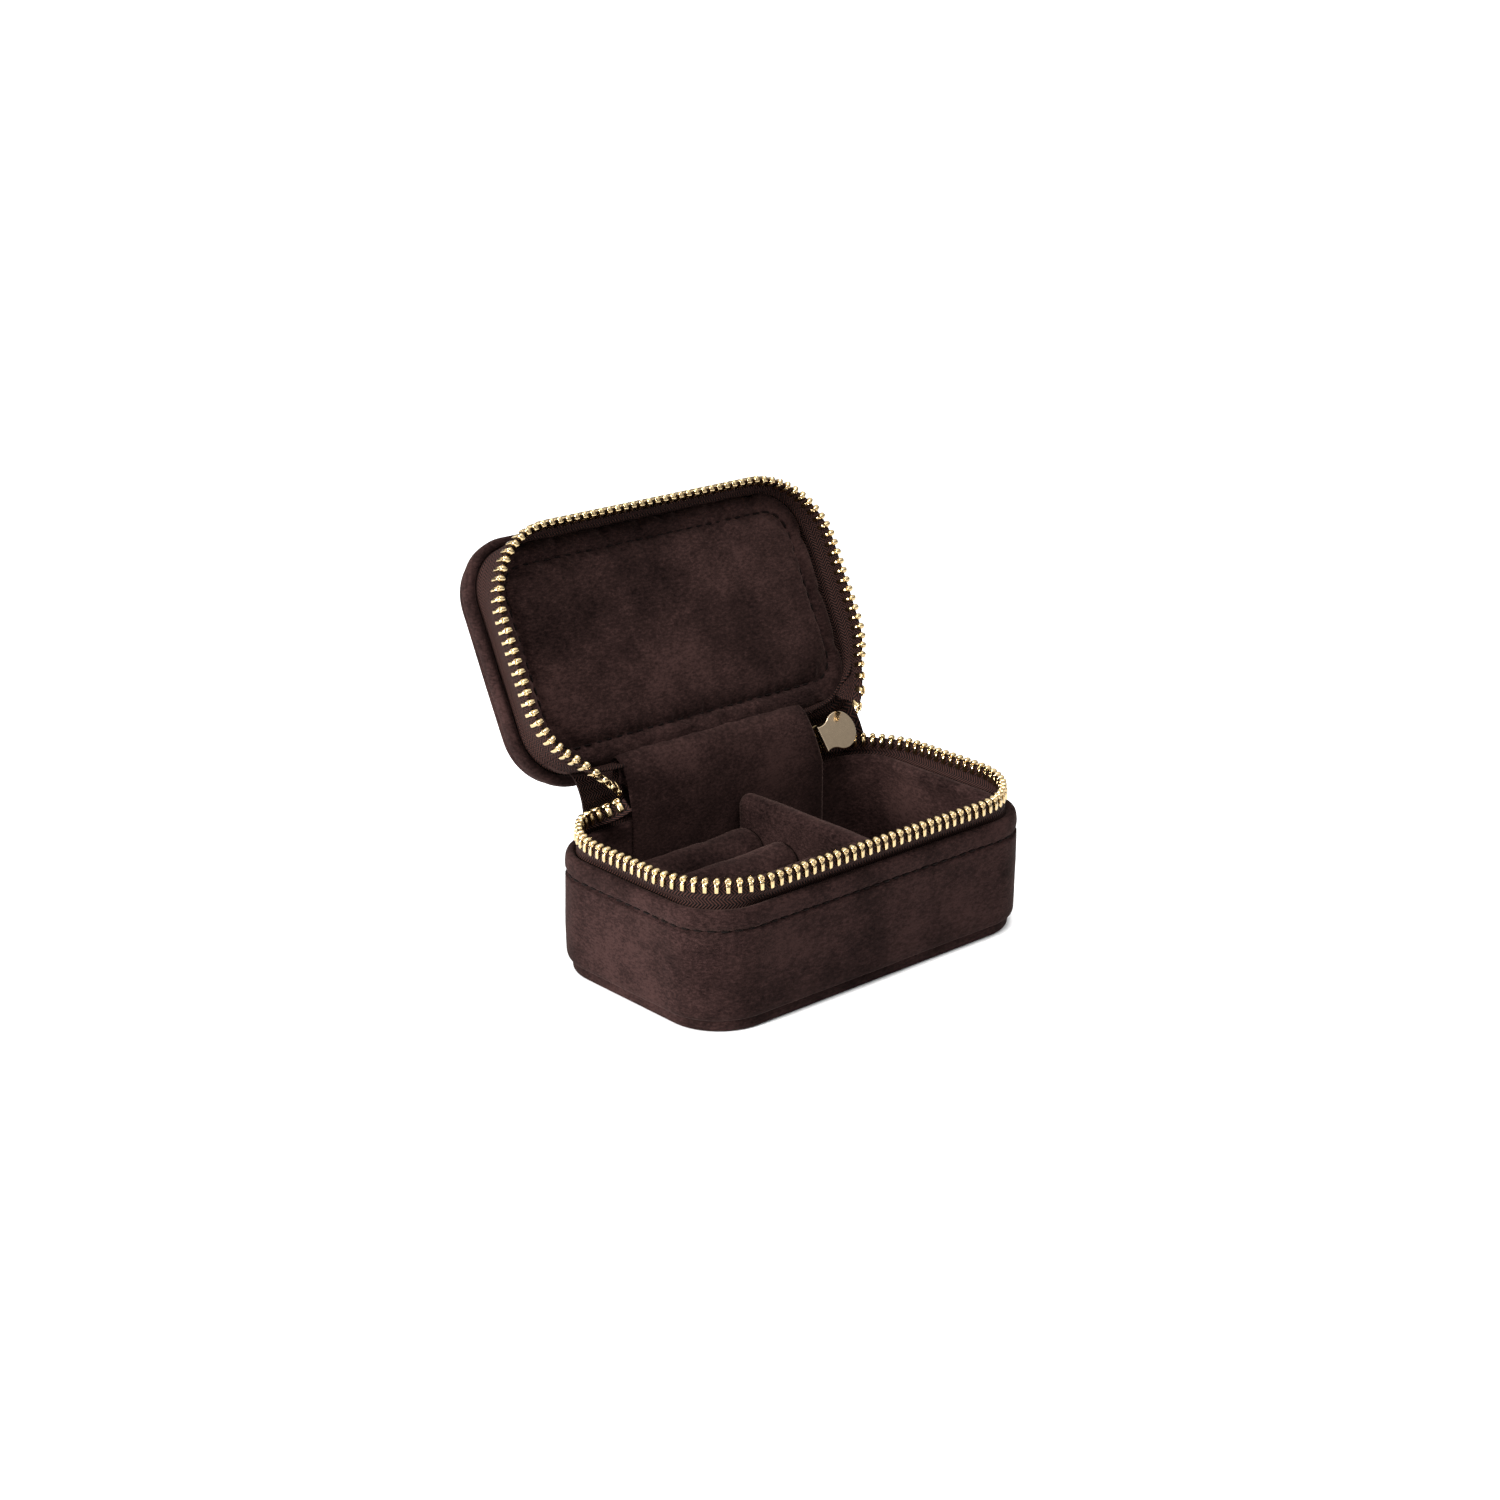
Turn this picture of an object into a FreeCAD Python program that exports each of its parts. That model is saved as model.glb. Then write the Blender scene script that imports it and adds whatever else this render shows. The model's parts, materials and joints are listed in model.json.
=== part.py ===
import FreeCAD, Part
import math
import os
import re
import Sketcher

# Travel jewelry case: a velvet-covered base tray and lid tray joined by a soft fabric hinge and a
# two-way curved zip.  X runs along the case, Y to the back, Z up.  The origin is the middle of the
# underside of the base.  Everything is in millimetres.
#
# Both trays are built from the plane where the zip closes: a height is the closing plane minus a
# distance for the base, and plus that distance for the lid.  The lid is built closed and each of
# its pieces is then turned open about the hinge line.

doc = FreeCAD.newDocument("JewelryCase")
sheet = doc.addObject("Spreadsheet::Sheet", "Sizes")

SIZES = [
    ("case_length", 100.0),
    ("case_depth", 58.0),
    ("corner_radius", 14.0),
    ("closing_height", 34.3),
    ("lid_depth", 16.8),
    ("open_angle", 117.0),
    ("hinge_back", 28.3),
    ("hinge_height", 41.0),
    ("rim_distance", 6.3),
    ("lid_rim_distance", 10.6),
    ("plate_thickness", 2.8),
    ("plate_inset", 1.2),
    ("plate_edge_radius", 0.7),
    ("velvet", 0.8),
    ("board", 1.6),
    ("rim_fold", 1.2),
    ("wall_edge_radius", 0.7),
    ("stitch_distance", 4.6),
    ("stitch_length", 2.1),
    ("stitch_gap", 0.9),
    ("thread", 0.36),
    ("tape_inset", 2.45),
    ("tape_thickness", 0.6),
    ("tape_hem", 6.5),
    ("lid_tape_hem", 3.2),
    ("tape_lean_top", 3.3),
    ("tape_edge", 0.9),
    ("chain_inset", 0.75),
    ("chain_radius", 19.1),
    ("tooth_pitch", 2.35),
    ("tooth_width", 0.9),
    ("tooth_across", 2.1),
    ("leg_end", 3.0),
    ("head_across", 1.5),
    ("head_reach", 0.0),
    ("hinge_half_width", 27.8),
    ("hinge_right", 29.2),
    ("hinge_tuck", 1.2),
    ("slider_bay_end", 42.4),
    ("lining_inset", 3.35),
    ("lining_board", 1.0),
    ("lining_drop", 5.0),
    ("floor_board", 1.2),
    ("floor_pad", 1.4),
    ("divider_middle", 4.9),
    ("divider_thickness", 4.2),
    ("divider_height", 28.8),
    ("divider_board", 1.4),
    ("roll_pitch", 11.9),
    ("roll_thickness", 11.3),
    ("roll_height", 22.0),
    ("roll_side_gap", 0.4),
    ("pad_inset", 3.4),
    ("pad_distance", 7.0),
    ("pad_board", 1.2),
    ("pad_edge_radius", 0.75),
    ("pad_stitch_inset", 4.0),
    ("strip_thickness", 0.6),
    ("outer_band_setback", 0.2),
    ("outer_band_bend", 0.6),
    ("outer_band_lean", 3.0),
    ("inner_band_gap", 0.05),
    ("inner_band_lift", 0.1),
    ("slider_length", 7.4),
    ("slider_width", 6.4),
    ("slider_tail", 4.6),
    ("slider_plate", 0.8),
    ("slider_throat", 2.4),
    ("slider_tilt", 28.0),
    ("slider_skew", 9.0),
    ("slider_middle", 33.2),
    ("slider_back", 29.0),
    ("slider_rise", 33.2),
    ("wedge_mouth", 1.8),
    ("wedge_tip", 0.7),
    ("lug_width", 2.0),
    ("lug_wall", 0.25),
    ("pull_length", 11.0),
    ("pull_radius", 4.6),
    ("pull_neck", 6.5),
    ("pull_thickness", 1.1),
    ("pull_overhang", 1.2),
    ("pull_hollow", 0.42),
    ("pull_gap", 0.3),
    ("pull_edge_radius", 0.18),
    ("ear_width", 0.7),
    ("ear_gap", 1.15),
    ("ear_wall", 0.45),
    ("pin_radius", 0.5),
    ("pin_height", 2.35),
    ("pin_setback", 1.63),
    ("pin_clearance", 0.08),
    ("stop_length", 1.2),
    ("box_width", 3.4),
    ("box_thickness", 2.2),
    ("box_edge_radius", 0.4),
    ("box_gap", 0.35),
]
for row, (alias, amount) in enumerate(SIZES, start=1):
    sheet.set(f"A{row}", alias)
    sheet.set(f"B{row}", str(amount))
    sheet.setAlias(f"B{row}", alias)
doc.recompute()
ALIASES = {alias for alias, _ in SIZES}
TOLERANCE = 1e-4
sub_parts = []


# ---------------------------------------------------------------- reading and binding the sheet
def linked(formula):
    """The formula with each alias written as a reference to the sheet."""
    return re.sub(r"[a-z_]+", lambda m: "Sizes." + m.group() if m.group() in ALIASES else m.group(), formula)


def number(formula):
    """The present value of a formula of aliases."""
    return float(sheet.evalExpression(linked(formula)))


def bind(thing, path, formula):
    thing.setExpression(path, linked(formula))


# ---------------------------------------------------------------- bodies, sketches and features
def new_body(name):
    body = doc.addObject("PartDesign::Body", name)
    body.Label = name
    sub_parts.append(body)
    return body


def origin_plane(body, role):
    return next(feature for feature in body.Origin.OriginFeatures if feature.Role == role)


def new_sketch(body, height="0", role="XY_Plane"):
    sketch = body.newObject("Sketcher::SketchObject", body.Name + "_sketch")
    sketch.AttachmentSupport = [(origin_plane(body, role), "")]
    sketch.MapMode = "FlatFace"
    bind(sketch, "AttachmentOffset.Base.z", height)
    return sketch


def dimension(sketch, name, constraint, formula):
    index = sketch.addConstraint(constraint)
    sketch.renameConstraint(index, name)
    bind(sketch, "Constraints." + name, formula)


def rounded_rectangle(sketch, tag, length, depth, radius):
    """A rounded rectangle about the origin: four lines, then four tangent corner arcs."""
    x, y, r = number(length) / 2, number(depth) / 2, number(radius)
    cx, cy = x - r, y - r
    first = sketch.GeometryCount
    ends = [((-cx, y), (cx, y)), ((x, cy), (x, -cy)), ((cx, -y), (-cx, -y)), ((-x, -cy), (-x, cy))]
    for start, end in ends:
        sketch.addGeometry(Part.LineSegment(FreeCAD.Vector(*start, 0), FreeCAD.Vector(*end, 0)))
    for quarter, (ax, ay) in enumerate([(cx, cy), (cx, -cy), (-cx, -cy), (-cx, cy)]):
        circle = Part.Circle(FreeCAD.Vector(ax, ay, 0), FreeCAD.Vector(0, 0, 1), r)
        from_angle = -quarter * math.pi / 2
        sketch.addGeometry(Part.ArcOfCircle(circle, from_angle, from_angle + math.pi / 2))
    for side in range(4):
        line, before, after = first + side, first + 4 + (side + 3) % 4, first + 4 + side
        sketch.addConstraint(Sketcher.Constraint("Tangent", line, 1, before, 1))
        sketch.addConstraint(Sketcher.Constraint("Tangent", line, 2, after, 2))
        direction = "Horizontal" if side % 2 == 0 else "Vertical"
        sketch.addConstraint(Sketcher.Constraint(direction, line))
    for corner in range(1, 4):
        sketch.addConstraint(Sketcher.Constraint("Equal", first + 4, first + 4 + corner))
    sketch.addConstraint(Sketcher.Constraint("Symmetric", first + 4, 3, first + 6, 3, -1, 1))
    dimension(sketch, tag + "_length", Sketcher.Constraint("DistanceX", first + 3, 1, first + 1, 1, 2 * x), length)
    dimension(sketch, tag + "_depth", Sketcher.Constraint("DistanceY", first + 2, 1, first, 1, 2 * y), depth)
    dimension(sketch, tag + "_radius", Sketcher.Constraint("Radius", first + 4, r), radius)


def case_outline(sketch, tag, inset, radius=None):
    """The plan outline of the case, drawn in by an inset all round."""
    rounded_rectangle(sketch, tag, f"case_length - 2 * ({inset})", f"case_depth - 2 * ({inset})",
                      radius or f"corner_radius - ({inset})")


def plain_rectangle(sketch, low, high):
    """A rectangle between two corners, each a pair of formulas from the origin."""
    x0, y0, x1, y1 = [number(formula) for formula in (*low, *high)]
    first = sketch.GeometryCount
    corners = [(x0, y0), (x1, y0), (x1, y1), (x0, y1)]
    for index in range(4):
        start, end = corners[index], corners[(index + 1) % 4]
        sketch.addGeometry(Part.LineSegment(FreeCAD.Vector(*start, 0), FreeCAD.Vector(*end, 0)))
    for index in range(4):
        joint = Sketcher.Constraint("Coincident", first + index, 2, first + (index + 1) % 4, 1)
        sketch.addConstraint(joint)
        direction = "Horizontal" if index % 2 == 0 else "Vertical"
        sketch.addConstraint(Sketcher.Constraint(direction, first + index))
    places = [("low_x", "DistanceX", 0, x0, low[0]), ("low_y", "DistanceY", 0, y0, low[1]),
              ("high_x", "DistanceX", 2, x1, high[0]), ("high_y", "DistanceY", 2, y1, high[1])]
    for name, kind, line, amount, formula in places:
        dimension(sketch, name, Sketcher.Constraint(kind, -1, 1, first + line, 1, amount), formula)


def pad(body, sketch, length):
    feature = body.newObject("PartDesign::Pad", body.Name + "_pad")
    feature.Profile = sketch
    bind(feature, "Length", length)
    sketch.Visibility = False
    doc.recompute()
    return feature


def pocket_up(body, sketch, length):
    """Cuts upwards from the sketch, and makes sure that it took something away."""
    before = body.Shape.Volume
    feature = body.newObject("PartDesign::Pocket", body.Name + "_pocket")
    feature.Profile = sketch
    feature.Reversed = True
    bind(feature, "Length", length)
    doc.recompute()
    if body.Shape.Volume > before - TOLERANCE:
        raise RuntimeError(f"{body.Label}: the pocket cut nothing")
    return feature


def loft(body, kind, sketches):
    feature = body.newObject(kind, body.Name + "_loft")
    feature.Profile = sketches[0]
    feature.Sections = [(sketch, [""]) for sketch in sketches[1:]]
    feature.Ruled = True
    doc.recompute()
    return feature


def outline_edges(shape, height, inset):
    """Names of the edges at one height that run along the case outline drawn in by an inset."""
    length, depth = number("case_length") / 2 - inset, number("case_depth") / 2 - inset
    radius = number("corner_radius") - inset
    names = []
    for index, edge in enumerate(shape.Edges, start=1):
        box = edge.BoundBox
        if max(abs(box.ZMin - height), abs(box.ZMax - height)) > TOLERANCE:
            continue
        if edge.Curve.TypeId == "Part::GeomCircle":
            fits = abs(edge.Curve.Radius - radius) < TOLERANCE
        else:
            reach = (max(abs(box.XMin), abs(box.XMax)), max(abs(box.YMin), abs(box.YMax)))
            fits = abs(reach[0] - length) < TOLERANCE or abs(reach[1] - depth) < TOLERANCE
        if fits:
            names.append(f"Edge{index}")
    return names


def fillet(body, edges, radius):
    solid = body.Tip
    feature = body.newObject("PartDesign::Fillet", body.Name + "_fillet")
    feature.Base = (solid, edges)
    bind(feature, "Radius", radius)
    doc.recompute()
    return feature


def shaped(name, shape):
    """A sub-part whose shape is worked out here from the sheet's sizes."""
    feature = doc.addObject("Part::Feature", name)
    feature.Label = name
    feature.Shape = shape
    sub_parts.append(feature)
    return feature


# ---------------------------------------------------------------- heights on either tray
def low_of(tray, near, far):
    """Formula for the lower height of a slab between two distances from the closing plane."""
    return f"closing_height - ({far})" if tray == "base" else f"closing_height + ({near})"


def slab(tray, near, far):
    """The slab's lower height and its thickness, as formulas."""
    return low_of(tray, near, far), f"({far}) - ({near})"


def tray_depth(tray):
    return "closing_height" if tray == "base" else "lid_depth"


def rim_of(tray):
    """Distance of the wall's rim from the closing plane: the tape covers more of the shallow lid."""
    return "rim_distance" if tray == "base" else "lid_rim_distance"


def ring(body, tray, near, far, outer, inner):
    low, height = slab(tray, near, far)
    sketch = new_sketch(body, low)
    case_outline(sketch, "outer", outer)
    case_outline(sketch, "inner", inner)
    pad(body, sketch, height)


def plate(body, tray, near, far, inset):
    low, height = slab(tray, near, far)
    sketch = new_sketch(body, low)
    case_outline(sketch, "outline", inset)
    pad(body, sketch, height)


def open_lid(feature):
    """Turns a closed lid piece open about the hinge line."""
    hinge = FreeCAD.Vector(0, number("hinge_back"), number("hinge_height"))
    turn = FreeCAD.Rotation(FreeCAD.Vector(1, 0, 0), -number("open_angle"))
    feature.Placement = FreeCAD.Placement(FreeCAD.Vector(), turn, hinge).multiply(feature.Placement)


# ---------------------------------------------------------------- outer plate and wall of a tray
def build_plate(tray):
    """The flat velvet-wrapped board that closes the tray: a shallow velvet cup with a board in it."""
    depth = tray_depth(tray)
    inner = f"{depth} - plate_thickness"
    board_body = new_body(tray + "_plate_board")
    plate(board_body, tray, inner, f"{depth} - velvet", "plate_inset + velvet")
    cover = new_body(tray + "_plate_cover")
    plate(cover, tray, f"{depth} - velvet", depth, "plate_inset")
    ring(cover, tray, inner, f"{depth} - velvet", "plate_inset", "plate_inset + velvet")
    face = 0.0 if tray == "base" else number("closing_height + lid_depth")
    edges = outline_edges(cover.Shape, face, number("plate_inset"))
    fillet(cover, edges, "plate_edge_radius")
    return [board_body, cover]


def build_wall(tray):
    """The side wall: a bent board with velvet outside that folds in over the rim."""
    foot = f"{tray_depth(tray)} - plate_thickness"
    rim = rim_of(tray)
    under_fold = f"{rim} + rim_fold"
    board_body = new_body(tray + "_wall_board")
    ring(board_body, tray, under_fold, foot, "velvet", "velvet + board")
    cover = new_body(tray + "_wall_cover")
    ring(cover, tray, under_fold, foot, "0", "velvet")
    ring(cover, tray, rim, under_fold, "0", "velvet + board")
    sign = -1 if tray == "base" else 1
    for distance in (rim, foot):
        height = number("closing_height") + sign * number(distance)
        fillet(cover, outline_edges(cover.Shape, height, 0.0), "wall_edge_radius")
    if tray == "lid":
        return [board_body, cover]
    # The base's wall is deep enough for a row of top stitching, which lies in a groove.
    low, _ = slab(tray, f"{rim} + stitch_distance - thread", f"{rim} + stitch_distance + thread")
    groove = new_sketch(cover, low)
    case_outline(groove, "outer", "-velvet")
    case_outline(groove, "inner", "thread")
    pocket_up(cover, groove, "2 * thread")
    return [board_body, cover]


# ---------------------------------------------------------------- points along an inset outline
def outline_point(run, inset, radius):
    """Point and heading on the outline, at a run measured from the middle of the back, clockwise
    seen from above: along the back to the right, down the right side and round."""
    half_x = number("case_length") / 2 - inset
    half_y = number("case_depth") / 2 - inset
    straight_x, straight_y = 2 * (half_x - radius), 2 * (half_y - radius)
    quarter = radius * math.pi / 2
    lengths = [straight_x / 2, quarter, straight_y, quarter, straight_x, quarter, straight_y, quarter,
               straight_x / 2]
    run = run % sum(lengths)
    starts = [(0, half_y), (half_x - radius, half_y), (half_x, half_y - radius), (half_x, radius - half_y),
              (half_x - radius, -half_y), (radius - half_x, -half_y), (-half_x, radius - half_y),
              (-half_x, half_y - radius), (radius - half_x, half_y)]
    heading = 0.0
    for stage, length in enumerate(lengths):
        curved = stage % 2 == 1
        if run <= length or stage == len(lengths) - 1:
            break
        run -= length
        heading -= math.pi / 2 if curved else 0.0
    x, y = starts[stage]
    if not curved:
        return x + run * math.cos(heading), y + run * math.sin(heading), heading
    turn = run / radius
    centre_x, centre_y = x + radius * math.sin(heading), y - radius * math.cos(heading)
    heading -= turn
    return centre_x - radius * math.sin(heading), centre_y + radius * math.cos(heading), heading


def outline_length(inset, radius):
    half_sum = number("case_length") / 2 + number("case_depth") / 2 - 2 * inset - 2 * radius
    return 4 * half_sum + 2 * math.pi * radius


def stand_on_outline(shape, run, inset, radius, height):
    """A copy of a small piece set on the outline, its X along the outline and its Y outwards."""
    x, y, heading = outline_point(run, inset, radius)
    copy = shape.copy()
    turn = FreeCAD.Rotation(FreeCAD.Vector(0, 0, 1), math.degrees(heading))
    copy.Placement = FreeCAD.Placement(FreeCAD.Vector(x, y, height), turn)
    return copy


def build_stitches(name, inset, radius, height, across):
    """One round of separate stitches, each a short thread bar."""
    total = outline_length(inset, radius)
    count = round(total / (number("stitch_length") + number("stitch_gap")))
    length, thread = number("stitch_length"), number("thread")
    size = (length, thread, thread)
    corner = FreeCAD.Vector(-length / 2, 0 if across else -thread / 2, -thread / 2 if across else 0)
    bar = Part.makeBox(*size, corner)
    stitches = [stand_on_outline(bar, index * total / count, inset, radius, height) for index in range(count)]
    return shaped(name, Part.makeCompound(stitches))


# ---------------------------------------------------------------- zip tape and teeth
def chain_start():
    """Run from the middle of the back to where the teeth begin, past the slider's bay."""
    radius = number("chain_radius")
    arc_from = number("case_length") / 2 - number("chain_inset") - radius
    return arc_from + radius * math.asin((number("slider_bay_end") - arc_from) / radius)


def chain_end():
    return outline_length(number("chain_inset"), number("chain_radius")) - number("hinge_half_width")


def build_tape(tray):
    """The tape half: a hem behind the rim, a part that leans out to the chain, and a straight edge."""
    body = new_body(tray + "_zip_tape")
    rim = rim_of(tray)
    whole = f"{rim} + tape_hem" if tray == "base" else f"{rim} + lid_tape_hem"
    ring(body, tray, rim, whole, "tape_inset", "tape_inset + tape_thickness")
    edge_inset = "chain_inset - tape_thickness / 2"
    faces = [("tape_inset", "corner_radius - tape_inset", edge_inset, "chain_radius + tape_thickness / 2"),
             ("tape_inset + tape_thickness", "corner_radius - tape_inset - tape_thickness",
              edge_inset + " + tape_thickness", "chain_radius - tape_thickness / 2")]
    sign = "-" if tray == "base" else "+"
    for kind, (low_inset, low_radius, high_inset, high_radius) in zip(
            ("PartDesign::AdditiveLoft", "PartDesign::SubtractiveLoft"), faces):
        foot = new_sketch(body, f"closing_height {sign} ({rim})")
        case_outline(foot, "foot", low_inset, low_radius)
        edge = new_sketch(body, f"closing_height {sign} tape_lean_top")
        case_outline(edge, "edge", high_inset, high_radius)
        loft(body, kind, [foot, edge])
    low, height = slab(tray, "tape_edge", "tape_lean_top")
    top = new_sketch(body, low)
    case_outline(top, "outer", faces[0][2], faces[0][3])
    case_outline(top, "inner", faces[1][2], faces[1][3])
    pad(body, top, height)
    # The tape stops at the hinge strip, and beside it leaves a bay for the slider above the rim.
    bay_low, bay_height = slab(tray, "0", rim)
    gaps = [("-hinge_half_width", "hinge_half_width", *slab(tray, "0", whole)),
            ("0", "slider_bay_end", bay_low, bay_height)]
    for from_x, to_x, low_z, tall in gaps:
        gap = new_sketch(body, low_z)
        plain_rectangle(gap, (from_x, "case_depth / 4"), (to_x, "case_depth"))
        pocket_up(body, gap, tall)
    return body


def build_teeth(tray):
    """Metal teeth along the tape's edge.  Each has a head and two legs that straddle the tape, and
    the lid's teeth stand half a pitch along from the base's.  The heads stop at the closing plane:
    the rows are rigid, and heads that reached between each other would cross as the lid swings."""
    width, slot = number("tooth_width"), number("tape_thickness") / 2
    leg, head = number("tooth_across") / 2, number("head_across") / 2
    foot, crown, tip = -number("leg_end"), -number("tape_edge"), number("head_reach")
    bevel = (leg - head) / 2
    side = [(slot, foot), (leg - bevel, foot), (leg, foot + bevel), (leg, crown), (head, crown + bevel),
            (head, tip - bevel), (head - bevel, tip)]
    outline = side + [(-y, z) for y, z in reversed(side)] + [(-slot, crown), (slot, crown)]
    points = [FreeCAD.Vector(-width / 2, y, z) for y, z in outline]
    tooth = Part.Face(Part.makePolygon(points + points[:1])).extrude(FreeCAD.Vector(width, 0, 0))
    if tray == "lid":
        tooth = tooth.mirror(FreeCAD.Vector(), FreeCAD.Vector(0, 0, 1))
    pitch, inset, radius = number("tooth_pitch"), number("chain_inset"), number("chain_radius")
    start = chain_start() + (pitch / 2 if tray == "base" else pitch)
    count = int((chain_end() - start - pitch) / pitch)
    closing = number("closing_height")
    teeth = [stand_on_outline(tooth, start + index * pitch, inset, radius, closing) for index in range(count)]
    return shaped(tray + "_zip_teeth", Part.makeCompound(teeth))


def build_end_stop(tray):
    """The small metal clamp on the tape at the closed end of the zip, by the hinge strip."""
    across, length = number("tooth_across"), number("stop_length")
    foot, top = number("leg_end"), number("tape_edge")
    block = Part.makeBox(length, across, foot, FreeCAD.Vector(-length / 2, -across / 2, -foot))
    slot = Part.makeBox(length, number("tape_thickness"), foot - top,
                        FreeCAD.Vector(-length / 2, -number("tape_thickness") / 2, -foot))
    stop = block.cut(slot)
    stop = stop.makeFillet(top / 3, [edge for edge in stop.Edges if abs(edge.BoundBox.ZMin) < TOLERANCE])
    if tray == "lid":
        stop = stop.mirror(FreeCAD.Vector(), FreeCAD.Vector(0, 0, 1))
    run = chain_end() - length / 2
    inset, radius = number("chain_inset"), number("chain_radius")
    # A gap at the closing plane keeps the two stops apart when the lid is shut.
    lift = (-1 if tray == "base" else 1) * number("thread") / 2
    placed = stand_on_outline(stop, run, inset, radius, number("closing_height") + lift)
    return shaped(tray + "_zip_end_stop", placed)


# ---------------------------------------------------------------- inside of the base
FLOOR = "plate_thickness + floor_board + floor_pad"
INSIDE = "lining_inset + lining_board + velvet"


def distance_of(height):
    """A height above the table, as a distance from the closing plane."""
    return f"closing_height - ({height})"


def build_lining():
    """The inner wall of the base: a thin board with velvet inside and over its top edge."""
    foot = "closing_height - plate_thickness"
    top, board_top = "lining_drop", "lining_drop + velvet"
    board_body = new_body("base_lining_board")
    ring(board_body, "base", board_top, foot, "lining_inset", "lining_inset + lining_board")
    cover = new_body("base_lining_cover")
    ring(cover, "base", board_top, foot, "lining_inset + lining_board", INSIDE)
    ring(cover, "base", top, board_top, "lining_inset", INSIDE)
    return [board_body, cover]


def build_floor():
    """The padded floor of the base on its board."""
    board_body = new_body("base_floor_board")
    near = distance_of("plate_thickness + floor_board")
    plate(board_body, "base", near, distance_of("plate_thickness"), INSIDE)
    cover = new_body("base_floor_pad")
    plate(cover, "base", distance_of(FLOOR), near, INSIDE)
    return [board_body, cover]


def upright(name, middle, thickness, top, length_from, length_to, across_x, foot=FLOOR):
    """A wall with a half-round top: a divider across the case or a ring roll along it.
    Its profile stands on a vertical plane and is padded between two places."""
    half, height, floor = number(thickness) / 2, number(top), number(foot)
    centre = number(middle)
    near, far = number(length_from), number(length_to)
    spring = height - half
    points = [(centre - half, floor), (centre + half, floor), (centre + half, spring), (centre, height),
              (centre - half, spring)]

    def at(across, z):
        return FreeCAD.Vector(across, near, z) if across_x else FreeCAD.Vector(near, across, z)

    a, b, c, d, e = [at(*point) for point in points]
    edges = [Part.LineSegment(a, b).toShape(), Part.LineSegment(b, c).toShape(), Part.Arc(c, d, e).toShape(),
             Part.LineSegment(e, a).toShape()]
    run = FreeCAD.Vector(0, far - near, 0) if across_x else FreeCAD.Vector(far - near, 0, 0)
    return shaped(name, Part.Face(Part.Wire(edges)).extrude(run))


def inside_room(gap):
    """The space inside the base's lining, drawn in by a gap, as a solid."""
    inset = f"{INSIDE} + {gap}"
    half_x, half_y = number(f"case_length / 2 - ({inset})"), number(f"case_depth / 2 - ({inset})")
    room = Part.makeBox(2 * half_x, 2 * half_y, number("closing_height"), FreeCAD.Vector(-half_x, -half_y, 0))
    corners = [edge for edge in room.Edges if edge.BoundBox.ZLength > TOLERANCE]
    return room.makeFillet(number(f"corner_radius - ({inset})"), corners)


def cut_core(cover, core):
    """Hollows a cover to hold its core."""
    cover.Shape = cover.Shape.cut(core.Shape)


def build_divider():
    """The padded partition between the ring side and the open side."""
    reach = f"case_depth / 2 - ({INSIDE})"
    back = f"{reach} - strip_thickness - roll_side_gap"
    core = upright("divider_board", "divider_middle", "divider_board", "divider_height - velvet",
                   f"-({reach}) + velvet", f"{back} - velvet", True)
    cover = upright("divider_cover", "divider_middle", "divider_thickness", "divider_height",
                    f"-({reach})", back, True)
    cut_core(cover, core)
    return [core, cover]


def build_rolls():
    """Four padded ring rolls side by side along the left compartment, each foam in velvet."""
    left = f"-(case_length / 2 - ({INSIDE})) + roll_side_gap"
    right = "divider_middle - divider_thickness / 2 - roll_side_gap"
    rolls = []
    for index, place in enumerate(("front", "front_middle", "rear_middle", "rear")):
        middle = f"roll_pitch * ({index} - 1.5) - strip_thickness / 2"
        core = upright(f"ring_roll_{place}_foam", middle, "roll_thickness - 2 * velvet", "roll_height - velvet",
                       f"{left} + velvet", f"{right} - velvet", False)
        cover = upright(f"ring_roll_{place}_cover", middle, "roll_thickness", "roll_height", left, right, False)
        # The ends follow the tray where its corners round in.
        core.Shape = core.Shape.common(inside_room("roll_side_gap + velvet"))
        cover.Shape = cover.Shape.common(inside_room("roll_side_gap"))
        cut_core(cover, core)
        rolls += [core, cover]
    return rolls


# ---------------------------------------------------------------- padded panel inside the lid
def build_lid_panel():
    """The lid's padded lining: a board against the top plate, foam, and velvet over both."""
    far = "lid_depth - plate_thickness"
    skin = "pad_inset + velvet"
    board_body = new_body("lid_panel_board")
    plate(board_body, "lid", f"{far} - pad_board", far, skin)
    foam = new_body("lid_panel_foam")
    plate(foam, "lid", "pad_distance + velvet", f"{far} - pad_board", skin)
    cover = new_body("lid_panel_cover")
    plate(cover, "lid", "pad_distance", "pad_distance + velvet", "pad_inset")
    ring(cover, "lid", "pad_distance + velvet", far, "pad_inset", skin)
    face = number("closing_height + pad_distance")
    fillet(cover, outline_edges(cover.Shape, face, number("pad_inset")), "pad_edge_radius")
    inset = number("pad_inset + pad_stitch_inset")
    stitches = build_stitches("lid_panel_stitching", inset, number("corner_radius") - inset + 4,
                              face - number("thread"), False)
    return [board_body, foam, cover, stitches]


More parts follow.
